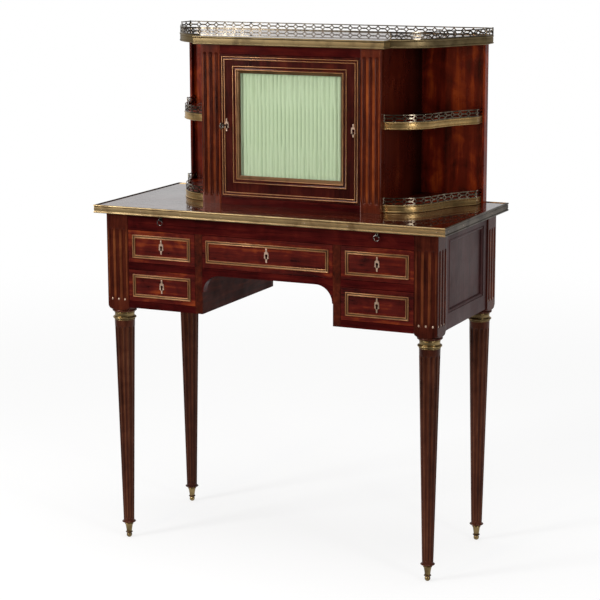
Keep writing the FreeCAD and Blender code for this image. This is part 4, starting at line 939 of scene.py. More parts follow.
class LinkRunner(GrowingTool):
    """Repeats a link along a curve and bends each one to it."""

    def __init__(self) -> None:
        """Build the tree."""
        super().__init__("link_runner", {"Path": "NodeSocketObject", "Link": "NodeSocketObject",
                                         "Count": "NodeSocketInt", "Pitch": "NodeSocketFloat",
                                         "Material": "NodeSocketMaterial"})
        bench, entry = self.bench, self.entry
        step = bench.node("ShaderNodeCombineXYZ", X=entry.outputs["Pitch"])
        half = bench.node("ShaderNodeCombineXYZ", X=bench.sum("MULTIPLY", entry.outputs["Pitch"], 0.5))
        row = bench.node("GeometryNodeMeshLine", {"mode": "OFFSET"}, Count=entry.outputs["Count"],
                         Start_Location=half, Offset=step)
        straight = bench.node("GeometryNodeRealizeInstances",
                              Geometry=bench.node("GeometryNodeInstanceOnPoints", Points=row,
                                                  Instance=self.shape_of("Link")))
        place = bench.node("ShaderNodeSeparateXYZ", Vector=bench.node("GeometryNodeInputPosition"))
        sample = bench.node("GeometryNodeSampleCurve", {"mode": "LENGTH", "use_all_curves": False},
                            Curves=self.shape_of("Path"), Length=place.outputs[0])
        side = bench.node("ShaderNodeVectorMath", {"operation": "CROSS_PRODUCT"},
                          i0=sample.outputs["Tangent"], i1=(0.0, 0.0, 1.0))
        out = bench.node("ShaderNodeVectorMath", {"operation": "SCALE"}, i0=side, Scale=place.outputs[1])
        rise = bench.node("ShaderNodeCombineXYZ", Z=place.outputs[2])
        moved = bench.node("ShaderNodeVectorMath", {"operation": "ADD"}, i0=out, i1=rise)
        bent = bench.node("ShaderNodeVectorMath", {"operation": "ADD"}, i0=moved,
                          i1=sample.outputs["Position"])
        self.close(bench.node("GeometryNodeSetPosition", Geometry=straight, Position=bent))


class StudSetter(GrowingTool):
    """Sets a stud on every point of a mesh, turned to the point's stored direction."""

    def __init__(self) -> None:
        """Build the tree."""
        super().__init__("stud_setter", {"Points": "NodeSocketObject", "Stud": "NodeSocketObject",
                                         "Material": "NodeSocketMaterial"})
        bench = self.bench
        facing = bench.node("GeometryNodeInputNamedAttribute", {"data_type": "FLOAT_VECTOR"}, Name="facing")
        turn = bench.node("FunctionNodeAlignRotationToVector", {"axis": "Y", "pivot_axis": "Z"},
                          Vector=bench.node("ShaderNodeVectorMath", {"operation": "SCALE"},
                                            i0=facing.outputs["Attribute"], Scale=-1.0))
        self.close(bench.node("GeometryNodeInstanceOnPoints", Points=self.shape_of("Points"),
                              Instance=self.shape_of("Stud"), Rotation=turn))

    def set_studs(self, name: str, stud: Shell, places: Places, finish: Finish) -> bpy.types.Object:
        """Set studs on the desk's case and keep them as one piece.

        Args:
            name: The piece's name.
            stud: One stud at the origin, in metres, facing -Y.
            places: Each stud's place in millimetres, and the way it faces.
            finish: What the studs are made of.

        Returns:
            The finished piece.
        """
        pattern = stand_in(f"{name}_stud", stud)
        cloud = bpy.data.meshes.new(f"{name}_points")
        cloud.from_pydata([tuple(place * MM) for place, _ in places], [], [])
        facing = cloud.attributes.new("facing", "FLOAT_VECTOR", "POINT")
        facing.data.foreach_set("vector", [value for _, way in places for value in way])
        points = shown(f"{name}_points", cloud)
        data = self.grow(name, {"Points": points, "Stud": pattern, "Material": finish.material})
        for used in (pattern, points):
            bpy.data.objects.remove(used)
        return adopt(name, data, finish, body="case", nodes=(), smooth=40.0)


def stand_in(name: str, mesh: Shell) -> bpy.types.Object:
    """Return a bmesh as a helper object for a Geometry Nodes tool."""
    bmesh.ops.recalc_face_normals(mesh, faces=mesh.faces[:])
    return shown(name, settled(name, mesh))


def path_curve(name: str, path: Sequence[Vector]) -> bpy.types.Object:
    """Make a helper curve for a Geometry Nodes tool.

    Args:
        name: The helper's name.
        path: Its points, in millimetres.

    Returns:
        The curve, in metres.
    """
    data = bpy.data.curves.new(name, "CURVE")
    data.dimensions = "3D"
    spline = data.splines.new("POLY")
    spline.points.add(len(path) - 1)
    for target, point in zip(spline.points, path):
        target.co = (*(point * MM), 1.0)
    return shown(name, data)


# Fluted uprights ----------------------------------------------------------

@dataclass
class Flute:
    """Three hollows that a round-ended cutter leaves side by side in a flat face."""

    radius: float
    inset: float
    pitch: float
    low: float
    high: float
    fade: float = 16.0
    across: Sequence[float] = (-1.02, -1, -0.85, -0.6, -0.3, 0, 0.3, 0.6, 0.85, 1, 1.02)
    upward: Sequence[float] = (-0.3, 0, 0.35, 0.8, 1.5, 2.4, 3.4, 4.6, 6.0, 10.0, 16.0)

    def depth(self, across: float, height: float) -> float:
        """Return how deep the three flutes are at a place on the face.

        Args:
            across: Distance from the face's middle.
            height: Height above the floor.

        Returns:
            The depth in millimetres, 0 outside the flutes.
        """
        nearest = min((across + self.pitch * step for step in (-1, 0, 1)), key=abs)
        beyond = max(self.low + self.radius - height, height - self.high + self.radius, 0.0)
        away = nearest * nearest + beyond * beyond
        return max(0.0, math.sqrt(max(0.0, self.radius ** 2 - away)) - self.inset)

    def rubbing(self, height: float) -> float:
        """Return how strongly the ridges are rubbed and given their painted highlight at a height: 1 between
        the flutes, 0 past their ends.
        """
        return min(1.0, max(0.0, min(height - self.low, self.high - height) / self.fade))

    def stations(self, half: float) -> list[float]:
        """Find where the face is divided across.

        Args:
            half: Half the face's width.

        Returns:
            Distances from the middle, from one edge to the other.
        """
        reach = math.sqrt(self.radius ** 2 - self.inset ** 2)
        marks = [step * self.pitch + reach * share for step in (-1, 0, 1) for share in self.across]
        return [mark for mark in marks if abs(mark) < half]

    def levels(self, low: float, high: float) -> list[float]:
        """Find the heights at which the face is divided.

        Args:
            low: The foot of the face.
            high: The top of the face.

        Returns:
            Heights from low to high.
        """
        visible = self.radius - math.sqrt(self.radius ** 2 - self.inset ** 2)
        marks = {low, high}
        for end, way in ((self.low + visible, 1), (self.high - visible, -1)):
            marks.update(end + way * step for step in self.upward)
        return sorted(mark for mark in marks if low <= mark <= high)


def quarter_turn(core: float, foot: float, height: float) -> Callable[[float], float]:
    """Return how far out a quarter-round shoulder lets a square post reach at each height.

    Args:
        core: The shoulder's radius at its foot.
        foot: The height of its foot.
        height: How high and how wide the quarter round is.

    Returns:
        A function from height to radius.
    """
    def reach(level: float) -> float:
        """Return the radius at one height."""
        down = max(0.0, foot + height - level)
        return core + math.sqrt(max(0.0, height * height - down * down)) if down else math.inf
    return reach


def fluted_post(centre: Vector, half: Point, low: float, high: float, flute: Flute,
                faces: Faces, round_edge: float = 1.2,
                limit: Callable[[float], float] = lambda level: math.inf,
                extra_levels: Sequence[float] = ()) -> Shell:
    """Make a square upright with flutes down some of its faces.

    Args:
        centre: Its middle, in plan.
        half: Half its width along X and along Y.
        low: The height of its foot.
        high: The height of its top.
        flute: The hollows.
        faces: The outward directions of the fluted faces.
        round_edge: The radius of its upright edges.
        limit: The most that any point may stand away from the middle, at each height.
        extra_levels: More heights at which the shell is divided.

    Returns:
        The closed shell.
    """
    directions = ((0, -1), (1, 0), (0, 1), (-1, 0))
    corner_angles = (30, 60)
    rings, shares = [], []
    deepest = flute.radius - flute.inset
    for height in sorted({*flute.levels(low, high), *extra_levels}):
        ring = []
        for out_x, out_y in directions:
            reach = half[1] if out_x == 0 else half[0]
            width = half[0] if out_x == 0 else half[1]
            along = Vector((-out_y, out_x, 0))
            out = Vector((out_x, out_y, 0))
            flat = width - round_edge
            fluted = (out_x, out_y) in faces
            if fluted:
                marks = [-flat, *(mark for mark in flute.stations(width) if abs(mark) < flat - 0.1), flat]
            else:
                marks = [flat * step / 8 for step in range(-8, 9)] if extra_levels else [-flat, flat]
            for mark in marks:
                sunk = flute.depth(mark, height) if fluted and abs(mark) < flat else 0.0
                ring.append(centre + along * mark + out * (reach - sunk) + Vector((0, 0, height)))
                inside = fluted and abs(mark) < flute.pitch * 1.5
                # Points on the ridges between flutes are marked below 0, so that the wood gets its painted
                # highlight there.
                shares.append(sunk / deepest if sunk > 0 else -flute.rubbing(height) * inside)
            corner = centre + along * flat + out * (reach - round_edge) + Vector((0, 0, height))
            for angle in corner_angles:
                turn = math.radians(angle)
                ring.append(corner + (out * math.cos(turn) + along * math.sin(turn)) * round_edge)
                shares.append(0.0)
        for index, point in enumerate(ring):
            arm = Vector((point.x - centre.x, point.y - centre.y, 0))
            if arm.length > limit(height):
                ring[index] = point - arm * (1 - limit(height) / arm.length)
        rings.append(ring)
    return mark_hollows(skin(rings), shares)


@dataclass
class Legs:
    """The four legs: fluted corner posts on turned shafts, with brass collars, sabots and flute tips."""

    post_half: float = 26.0
    post_foot: float = 527.0
    post_top: float = 742.0
    shoulder: float = 11.0
    collar_foot: float = 502.5
    shaft_top: float = 22.3
    shaft_foot: float = 12.0
    flange_top: float = 40.0
    flutes: int = 12
    flute_low: float = 45.0
    flute_high: float = 489.0
    flute_radius: Point = (2.2, 4.0)
    flute_inset: float = 0.42
    tip_lift: float = 1.2
    post_flute: Flute = field(default_factory=lambda: Flute(6.6, 4.2, 15.5, 547.0, 711.0))

    def levels(self) -> list[float]:
        """Find the heights at which a shaft is divided: close at the flutes' ends, 20 mm apart between.

        Returns:
            Heights from low to high.
        """
        return [*(self.flange_top + step for step in (0, 1.5, 3)),
                *(self.flute_low + step for step in (0, 1.5, 3.5, 6, 11)),
                *range(60, 461, 20),
                *(self.flute_high + step for step in (-15, -9, -5, -3, -1.5, 0, 1.5)),
                *(self.collar_foot + step for step in (-7.5, 2))]

    def shaft(self, at: Point) -> Shell:
        """Make the fluted, tapering shaft of one leg.

        Args:
            at: Where the leg stands, in plan.

        Returns:
            The closed shell.
        """
        steps = self.flutes * 12
        sector = math.tau / self.flutes
        narrow, wide = self.flute_radius
        rings, shares = [], []
        for height in self.levels():
            share = (height - self.flange_top) / (self.collar_foot - self.flange_top)
            radius = self.shaft_foot + (self.shaft_top - self.shaft_foot) * share
            groove = narrow + (wide - narrow) * share
            inset = groove * self.flute_inset
            beyond = max(self.flute_low + groove - height, height - self.flute_high + groove, 0.0)
            between_ends = self.flute_low + 2 < height < self.flute_high - 2
            ring = []
            for step in range(steps):
                angle = math.tau * step / steps
                nearest = (angle + sector / 2) % sector - sector / 2
                away = (nearest * radius) ** 2 + beyond ** 2
                sunk = max(0.0, math.sqrt(max(0.0, groove ** 2 - away)) - inset)
                ring.append(Vector((at[0] + (radius - sunk) * math.cos(angle),
                                    at[1] + (radius - sunk) * math.sin(angle), height)))
                # Points on the ridges between flutes are marked below 0, so that the wood gets its painted
                # highlight there.
                shares.append(sunk / (groove - inset) if sunk > 0 else -float(between_ends))
            rings.append(ring)
        return mark_hollows(skin(rings), shares)

    def post(self, at: Point, faces: Faces) -> Shell:
        """Make one square post, with a quarter-round shoulder at its foot.

        Args:
            at: Where the leg stands, in plan.
            faces: The outward directions of the fluted faces.

        Returns:
            The closed shell.
        """
        turned = quarter_turn(self.post_half - 1.0, self.post_foot, self.shoulder)
        steps = [self.post_foot + self.shoulder * share
                 for share in (0.02, 0.07, 0.15, 0.26, 0.4, 0.56, 0.72, 0.86, 0.95, 1.0)]
        return fluted_post(Vector((*at, 0)), (self.post_half, self.post_half), self.post_foot,
                           self.post_top, self.post_flute, faces, limit=turned, extra_levels=steps)

    def build(self) -> None:
        """Make all four legs and their brass, and hide the solids they stand for."""
        neck = [(20.0, 521.5), (24.0, 521.5), *arc((24.25, 524.25), 2.7, -86, 86, 10), (24.0, 527.0),
                (20.0, 527.4)]
        flange = [(6.0, 34.9), (9.8, 35.0), (13.6, 35.9), (15.2, 36.9), (15.5, 37.5), (15.2, 38.2),
                  (13.8, 39.3), (12.0, 40.2), (6.0, 40.4)]
        ring = [(5.0, 10.9), *arc((6.4, 12.3), 1.4, -90, 90, 8), (5.0, 13.9)]
        collars, sabots, rings, tips = [], [], [], []
        for row, front_faces in (("front", [(0, -1)]), ("back", [])):
            for side in Side:
                name = f"leg_{row}_{side.word}"
                low, high = box_of(name)
                at = ((low.x + high.x) / 2, (low.y + high.y) / 2)
                faces = [(side.value, 0), *front_faces]
                piece(f"{name}_post", self.post(at, faces), WOOD_POST, smooth=28)
                shells = [self.shaft(at), lathe(neck, *at), lathe(flange, *at, 48)]
                piece(f"{name}_shaft", merged(shells), WOOD_LEG, nodes=[name], smooth=28)
                collars.append(self.collar(at))
                sabots.append(self.sabot(at))
                rings.append(lathe(ring, *at))
                tips += self.tip_places(at, faces)
        piece("collars_turned", merged(collars), BRASS_TURNED, nodes=["leg_collars"], smooth=50)
        piece("sabots_turned", merged(sabots), BRASS_TURNED, nodes=["leg_sabots"], smooth=50)
        piece("sabot_rings", merged(rings), BRASS_DARK, smooth=50)
        StudSetter().set_studs("flute_tips", self.tip(), tips, BRASS_PLATE)

    def tip_places(self, at: Point, faces: Faces) -> Places:
        """Find where the brass tips of one post's flutes go.

        Args:
            at: Where the leg stands, in plan.
            faces: The outward directions of the fluted faces.

        Returns:
            Each tip's place, and the way it faces.
        """
        places = []
        for out_x, out_y in faces:
            out, along = Vector((out_x, out_y, 0)), Vector((-out_y, out_x, 0))
            base = Vector((*at, self.post_flute.low + self.tip_lift)) + out * self.post_half
            places += [(base + along * step * self.post_flute.pitch, out) for step in (-1, 0, 1)]
        return places

    @staticmethod
    def collar(at: Point) -> Shell:
        """Turn one brass collar: a plain band between two fine rings, a proud torus and a foot rim.

        Args:
            at: Where the leg stands, in plan.

        Returns:
            The closed shell.
        """
        outline = [(20.2, 502.5), *arc((22.0, 503.4), 0.9, -90, 80, 5), (21.7, 504.6), (21.7, 505.2),
                   *arc((23.9, 508.0), 1.9, -90, 90, 9), (21.9, 510.1), *arc((22.0, 511.1), 0.6, -80, 80, 4),
                   (21.6, 511.9), (21.7, 517.4), *arc((21.9, 518.5), 0.55, -80, 80, 4), (21.6, 519.4),
                   *arc((22.0, 520.6), 0.9, -80, 90, 5), (20.2, 521.5)]
        return lathe(outline, *at, 56)

    @staticmethod
    def sabot(at: Point) -> Shell:
        """Turn one sabot: a flaring cup with a beaded lip, on a ball foot.

        Args:
            at: Where the leg stands, in plan.

        Returns:
            The closed shell.
        """
        outline = [(0.6, 0.0), (2.0, 0.0), *arc((0, 5.87), 6.2, -71.2, 50, 10), (4.6, 12.4), (5.9, 14.2),
                   (6.4, 19.0), (7.3, 25.0), (8.3, 30.4), *arc((8.5, 31.9), 1.25, -90, 90, 6),
                   (8.9, 33.6), (9.7, 34.9), (0.6, 34.9)]
        return lathe(outline, *at, 48)

    @staticmethod
    def tip() -> Shell:
        """Make one brass flute tip, a small drop in the foot of a flute.

        Returns:
            The closed shell, standing on the origin and facing -Y.
        """
        height, half_width, sunk, flatness = 6.0, 2.0, 1.9, 0.55
        widest, taper, least = 0.42, 0.6, 0.1
        angles = [math.tau * step / 12 for step in range(12)]
        rings = []
        for share in (0.0, 0.08, 0.2, 0.36, 0.55, 0.74, 0.9, 0.98):
            width = half_width * math.sqrt(max(0.0, 1 - ((share - widest) / taper) ** 2)) + least
            rings.append([Vector((width * math.cos(angle), sunk + width * flatness * math.sin(angle),
                                  height * share)) for angle in angles])
        return skin(rings)


# Desk top and carcass -----------------------------------------------------

@dataclass
class DeskTop:
    """The polished top and its pinned brass edge."""

    thickness: float = 2.8
    bead: float = 1.9
    pin_pitch: float = 96.0
    pin_radius: float = 1.25
    pin_margin: float = 20.0
    pin_proud: float = 0.1

    def build(self) -> None:
        """Run the brass edge round the top, pin it and polish the board."""
        low, high = box_of("desk_edge_band")
        inner = high.x - box_of("desk_top")[1].x
        proud = inner - self.thickness
        profile = [(inner - out, low.z + up)
                   for out, up in reeded_profile(self.thickness, high.z - low.z, self.bead, proud)]
        edge = framed((low.x, low.y), (high.x, high.y), profile, lambda u, v, z: Vector((u, v, z)))
        piece("desk_edge_reeded", edge, BRASS, nodes=["desk_edge_band"])
        dress(WOOD_TOP, "desk_top")
        places = self.pin_places((high.x, high.y), inner - self.thickness - self.pin_proud,
                                 (low.z + high.z) / 2)
        StudSetter().set_studs("edge_pins", self.pin(), places, BRASS_PLATE)

    def pin_places(self, half: Point, inset: float, height: float) -> Places:
        """Find where the pins of the brass edge go: the two long sides first, then the two short ones.

        Args:
            half: Half the top's width and half its depth.
            inset: How far the pins stand inside the edge's reach.
            height: The height of the pins.

        Returns:
            Each pin's place, and the way it faces.
        """
        places = []
        for run, across in ((0, 1), (1, 0)):
            length = 2 * (half[run] - self.pin_margin)
            count = round(length / self.pin_pitch)
            for sign in (-1, 1):
                for step in range(count + 1):
                    place, way = Vector((0, 0, height)), Vector()
                    place[run] = length * step / count - length / 2
                    place[across] = sign * (half[across] - inset)
                    way[across] = sign
                    places.append((place, way))
        return places

    def pin(self) -> Shell:
        """Turn one domed pin head.

        Returns:
            The closed shell at the origin, facing -Y.
        """
        outline = [(self.pin_radius, -0.3), (self.pin_radius, 0.05), (self.pin_radius * 0.75, 0.3),
                   (self.pin_radius * 0.3, 0.42)]
        shell = lathe(outline, 0, 0, 10)
        bmesh.ops.rotate(shell, verts=shell.verts[:], matrix=Euler((math.pi / 2, 0, 0)).to_matrix())
        return shell


@dataclass
class Carcass:
    """The boards of the desk, and the moulding round each sunk side panel."""

    bead_width: float = 5.0
    stile_width: float = 20.5
    rail_width: float = 32.5

    def build(self) -> None:
        """Finish the boards and run the side mouldings."""
        dress(WOOD_ACROSS, "slide_rail", "apron", "dust_boards", "pedestal_bottoms")
        dress(WOOD_DEEP, "pedestal_side_left", "pedestal_side_right", "drawer_runners")
        # The sides take the darker, greyer mahogany with painted shade and sheen.
        dress(WOOD_SIDE_SHADED, "side_panel_left", "side_panel_right")
        dress(WOOD_PLAIN, "case_back")
        profile = [(0, -0.2), (0, 0.2), (0.9, 0.9), (1.6, 0.7), (2.0, -0.2),
                   *arc((5.0, -0.6), 3.0, 180, 250, 5), (self.bead_width, -5.0), (0, -5.0)]
        for side in Side:
            low, high = box_of(f"side_panel_{side.word}")
            face = high.x if side is Side.RIGHT else low.x
            moulding = framed((low.y + self.stile_width, low.z + self.rail_width),
                              (high.y - self.stile_width, high.z - self.stile_width), profile,
                              self.facing_side(face, side))
            piece(f"side_moulding_{side.word}", moulding, WOOD_SIDE_SHADED)

    @staticmethod
    def facing_side(face: float, side: Side) -> Lift:
        """Return the lift for a moulding on the left or right face of the case."""
        return lambda along, up, proud: Vector((face + proud * side.value, along, up))


# Brass frames and escutcheons ---------------------------------------------

@dataclass
class KeyPlate:
    """A pierced keyhole plate: an oval with a scroll and finial above and below."""

    height: float = 31.0
    width: float = 12.6
    thickness: float = 2.0
    oval: Point = (0.80, 0.58)
    ball: float = 0.14
    neck: float = 0.06
    neck_top: float = 0.8
    scroll: float = 1.28
    scrolls: Sequence[Point] = ((0.62, 0.26), (2.36, 0.30))
    levels: Sequence[Point] = ((0.0, 0.0), (0.0, 1.2), (0.06, 1.6), (0.16, 1.75), (0.34, 1.45), (0.50, 1.3),
                               (0.70, 1.35), (0.88, 1.4), (1.0, 1.1), (1.0, 0.0))
    hole: float = 3.2
    slot: float = 8.0
    slot_half: float = 0.7
    wood_keyhole: Spot = (2.35, 6.55, 1.1)
    steps: int = 72

    def outline(self, angle: float) -> Point:
        """Find the plate's edge in one direction: an oval, ball finials on necks, and side scrolls.

        Args:
            angle: The direction from the plate's middle, from straight up.

        Returns:
            The edge's place across and up.
        """
        across, up = math.sin(angle), math.cos(angle)
        slant = max(abs(across), 1e-6)
        half_width, half_height = self.width / 2, self.height / 2
        reach = 1 / math.hypot(across / (half_width * self.oval[0]), up / (half_height * self.oval[1]))
        ball, far = half_height * self.ball, half_height * (1 - self.ball)
        sideways = abs(across) * far
        if sideways < ball:
            reach = max(reach, abs(up) * far + math.sqrt(ball * ball - sideways * sideways))
        neck = half_height * self.neck
        if abs(across) * half_height < neck * 3:
            reach = max(reach, min(half_height * self.neck_top, neck / slant))
        for way, spread in self.scrolls:
            bump = max(0.0, 1 - ((abs(math.atan2(across, up)) - way) / spread) ** 2)
            reach = max(reach, bump * half_width * self.scroll)
        return across * min(reach, half_width / slant), up * reach

    @staticmethod
    def keyhole(angle: float, hole: float, slot: float, half: float) -> Point:
        """Return a keyhole's edge in one direction from the middle of its round part.

        Args:
            angle: The direction, from straight up.
            hole: The radius of the round part.
            slot: How far the slot reaches down.
            half: Half the slot's width.

        Returns:
            The edge's place across and up.
        """
        across, up = math.sin(angle), math.cos(angle)
        reach = hole
        if up < 0:
            reach = max(reach, min(slot / -up, half / max(abs(across), 1e-6)))
        return across * reach, up * reach

    def shell(self, at: Spot) -> Shell:
        """Make the plate.

        Args:
            at: The middle of the keyhole, on the face that the plate lies on.

        Returns:
            The closed shell, facing -Y.
        """
        x, y, z = at
        angles = [math.tau * step / self.steps for step in range(self.steps)]
        edge = [self.outline(angle) for angle in angles]
        hole = [self.keyhole(angle, self.hole, self.slot, self.hole * self.slot_half) for angle in angles]
        highest = max(proud for _, proud in self.levels)
        rings = []
        for share, proud in self.levels:
            rings.append([Vector((x + a[0] + (b[0] - a[0]) * share, y - proud * self.thickness / highest,
                                  z + a[1] + (b[1] - a[1]) * share)) for a, b in zip(edge, hole)])
        return skin(rings, loop=True)

    def lining(self, at: Spot) -> Shell:
        """Make a thin dark sheet that paints the shade seen in the keyhole.

        Args:
            at: The middle of the keyhole, on the face that the sheet lies on.

        Returns:
            A thin closed shell from under the plate to the edge of the keyhole in the wood.
        """
        x, y, z = at
        under_plate = (self.hole * 1.1, self.slot * 1.1, self.hole * 0.8)
        rings = []
        for size, proud in ((under_plate, 0.0), (under_plate, 0.15), (self.wood_keyhole, 0.15),
                            (self.wood_keyhole, 0.0)):
            edge = [self.keyhole(math.tau * step / self.steps, *size) for step in range(self.steps)]
            rings.append([Vector((x + across, y - proud, z + up)) for across, up in edge])
        return skin(rings, loop=True)


@dataclass
class Drawers:
    """The five drawers: wood, brass frame mouldings, keyhole plates and locks."""

    frame_width: float = 6.6
    plate_rise: float = 1.6
    front_depth: float = 17.5
    lock_half: Point = (18.9, 14.9)
    lock_inset: Point = (8.1, 17.9)
    lock_chamfer: float = 0.6

    def profiles(self) -> list[list[Point]]:
        """Draw the sections of a drawer's brass frame.

        Returns:
            The outer bead, the inner bead and the hollow between them.
        """
        width = self.frame_width
        outer = [(0, 0), (0, 1.8), *arc((0.95, 1.85), 0.95, 180, 0, 8), (1.9, 0)]
        inner = [(width - distance, up) for distance, up in reversed(outer)]
        return [outer, inner, [(1.6, 0), (1.6, 1.2), *arc((width / 2, 2.9), 2.4, 225, 315, 6),
                               (width - 1.6, 1.2), (width - 1.6, 0)]]

    def build(self) -> None:
        """Dress each drawer and make its brasses."""
        names = [f"drawer_{level}_{side.word}" for level in ("upper", "lower") for side in Side]
        for name in (*names, "drawer_middle"):
            low, high = box_of(name)
            brass_low, brass_high = box_of(f"{name}_brasses")
            face = low.y
            corners_at = ((brass_low.x, brass_low.z), (brass_high.x, brass_high.z))
            *shells, hollow = [framed(*corners_at, profile, facing_front(face))
                               for profile in self.profiles()]
            keyhole = ((low.x + high.x) / 2, face, (brass_low.z + brass_high.z) / 2 + self.plate_rise)
            piece(f"{name}_mounts", merged(shells), BRASS_LINE, body=name, nodes=[f"{name}_brasses"])
            plate = KeyPlate()
            piece(f"{name}_keyhole_plate", plate.shell(keyhole), BRASS_PLATE, body=name)
            piece(f"{name}_hollow", hollow, BRASS_DARK, body=name)
            # The lock piece also holds a thin dark sheet that paints the shade seen in the keyhole.
            lock = merged([self.lock(keyhole), plate.lining(keyhole)])
            piece(f"{name}_lock", lock, IRON, body=name)
            dress_behind(name, WOOD_FRONT, OAK, face + self.front_depth)

    def lock(self, at: Spot) -> Shell:
        """Make the lock that is let into the back of a drawer front.

        Args:
            at: The middle of the keyhole, on the drawer's face.

        Returns:
            The closed shell.
        """
        x, y, z = at
        half_x, half_z = self.lock_half
        front, back = self.lock_inset
        return chamfered_block(Vector((x - half_x, y + front, z - half_z)),
                               Vector((x + half_x, y + back, z + half_z)), self.lock_chamfer)


def chamfered_block(low: Vector, high: Vector, edge: float) -> Shell:
    """Make a block with chamfered edges.

    Args:
        low: Its lowest corner.
        high: Its highest corner.
        edge: The chamfer's width.

    Returns:
        The closed shell.
    """
    shell = bmesh.new()
    bmesh.ops.create_cube(shell, size=1.0)
    for vertex in shell.verts:
        vertex.co = Vector([(low[axis] if vertex.co[axis] < 0 else high[axis]) for axis in range(3)]) * MM
    bmesh.ops.bevel(shell, geom=shell.edges[:], offset=edge * MM, segments=2, affect="EDGES")
    return shell


# Writing slide ------------------------------------------------------------

@dataclass
class WritingSlide:
    """The pull-out slide with its leather, studs and hanging rings."""

    line_inset: float = 14.0
    line_gap: float = 5.0

    def build(self) -> None:
        """Dress the slide, its leather and its pulls."""
        low, high = box_of("slide_leather")
        leather = TooledLeather("tooled_leather", high.x, (low.y + high.y) / 2, (high.y - low.y) / 2,
                                self.line_inset, self.line_gap)
        dress(WOOD_ACROSS, "writing_slide")
        dress(leather, "slide_leather")
        dress(STEEL, "slide_studs", "pull_ring_left", "pull_ring_right")


# Cabinet ------------------------------------------------------------------

@dataclass
class Cabinet:
    """The cabinet's case: two fluted stiles, boards, and the niches at both sides."""

    flute: Flute = field(default_factory=lambda: Flute(5.2, 2.6, 14.2, 774.5, 1087.5))

    def build(self) -> None:
        """Make the stiles and dress the boards."""
        for side in Side:
            name = f"cabinet_stile_{side.word}"
            low, high = box_of(name)
            centre = Vector(((low.x + high.x) / 2, (low.y + high.y) / 2, 0))
            post = fluted_post(centre, ((high.x - low.x) / 2, (high.y - low.y) / 2), low.z, high.z,
                               self.flute, [(0, -1)])
            piece(f"stile_{side.word}_fluted", post, WOOD_STILE, nodes=[name], smooth=28)
        dress(WOOD_ACROSS, "cabinet_base", "cabinet_top_rail", "cabinet_shelf")
        dress(WOOD_TOP, "cabinet_top")
        dress(WOOD_INNER, "cabinet_side_left", "cabinet_side_right")
        dress_behind("cabinet_back", WOOD_NICHE, WOOD_PLAIN, box_of("cabinet_back")[1].y - 0.1)
        dress(WOOD_NICHE, *(f"{level}_shelf_{side.word}" for level in SHELVES for side in Side))
        dress(IRON, "door_pivots")


@dataclass
class WingLine:
    """A serpentine edge: it bulges, sweeps out to a corner, and then runs square to the back."""

    half_width: float = 350.3
    front: float = 39.8
    bulge_x: float = 200.5
    bulge: float = 99.0
    sweep_x: float = 546.0
    sweep: float = 257.0
    steps: int = 28

    def smooth(self, grow: float, start_x: float, height: float) -> Line:
        """Follow the edge from its inner end to the corner where it turns back.

        Args:
            grow: Distance outside the wood.
            start_x: Where it starts.
            height: Its height.

        Returns:
            Points from the middle of the object outwards, on the right side.
        """
        centre_y = self.bulge - self.front
        across = self.sweep_x - self.bulge_x
        sweep_y = centre_y - math.sqrt((self.bulge + self.sweep) ** 2 - across ** 2)
        near, far = self.bulge + grow, self.sweep - grow
        first = math.degrees(math.asin((start_x - self.bulge_x) / near)) - 90
        turning = math.degrees(math.atan2(sweep_y - centre_y, across))
        last = math.degrees(math.acos((self.half_width + grow - self.sweep_x) / far))
        points = [*arc((self.bulge_x, centre_y), near, first, turning, self.steps),
                  *arc((self.sweep_x, sweep_y), far, 180 + turning, last, self.steps)[1:]]
        return [Vector((x, y, height)) for x, y in points]

    def end(self, grow: float, back_y: float, height: float) -> Line:
        """Return the short straight end from the serpentine's corner to the back, on the right side."""
        corner = self.smooth(grow, self.bulge_x, height)[-1]
        return [corner, Vector((corner.x, back_y, height))]

    @staticmethod
    def mirrored(path: Sequence[Vector]) -> Line:
        """Return a path on the other side, still with its outside on the right."""
        return [Vector((-point.x, point.y, point.z)) for point in reversed(path)]


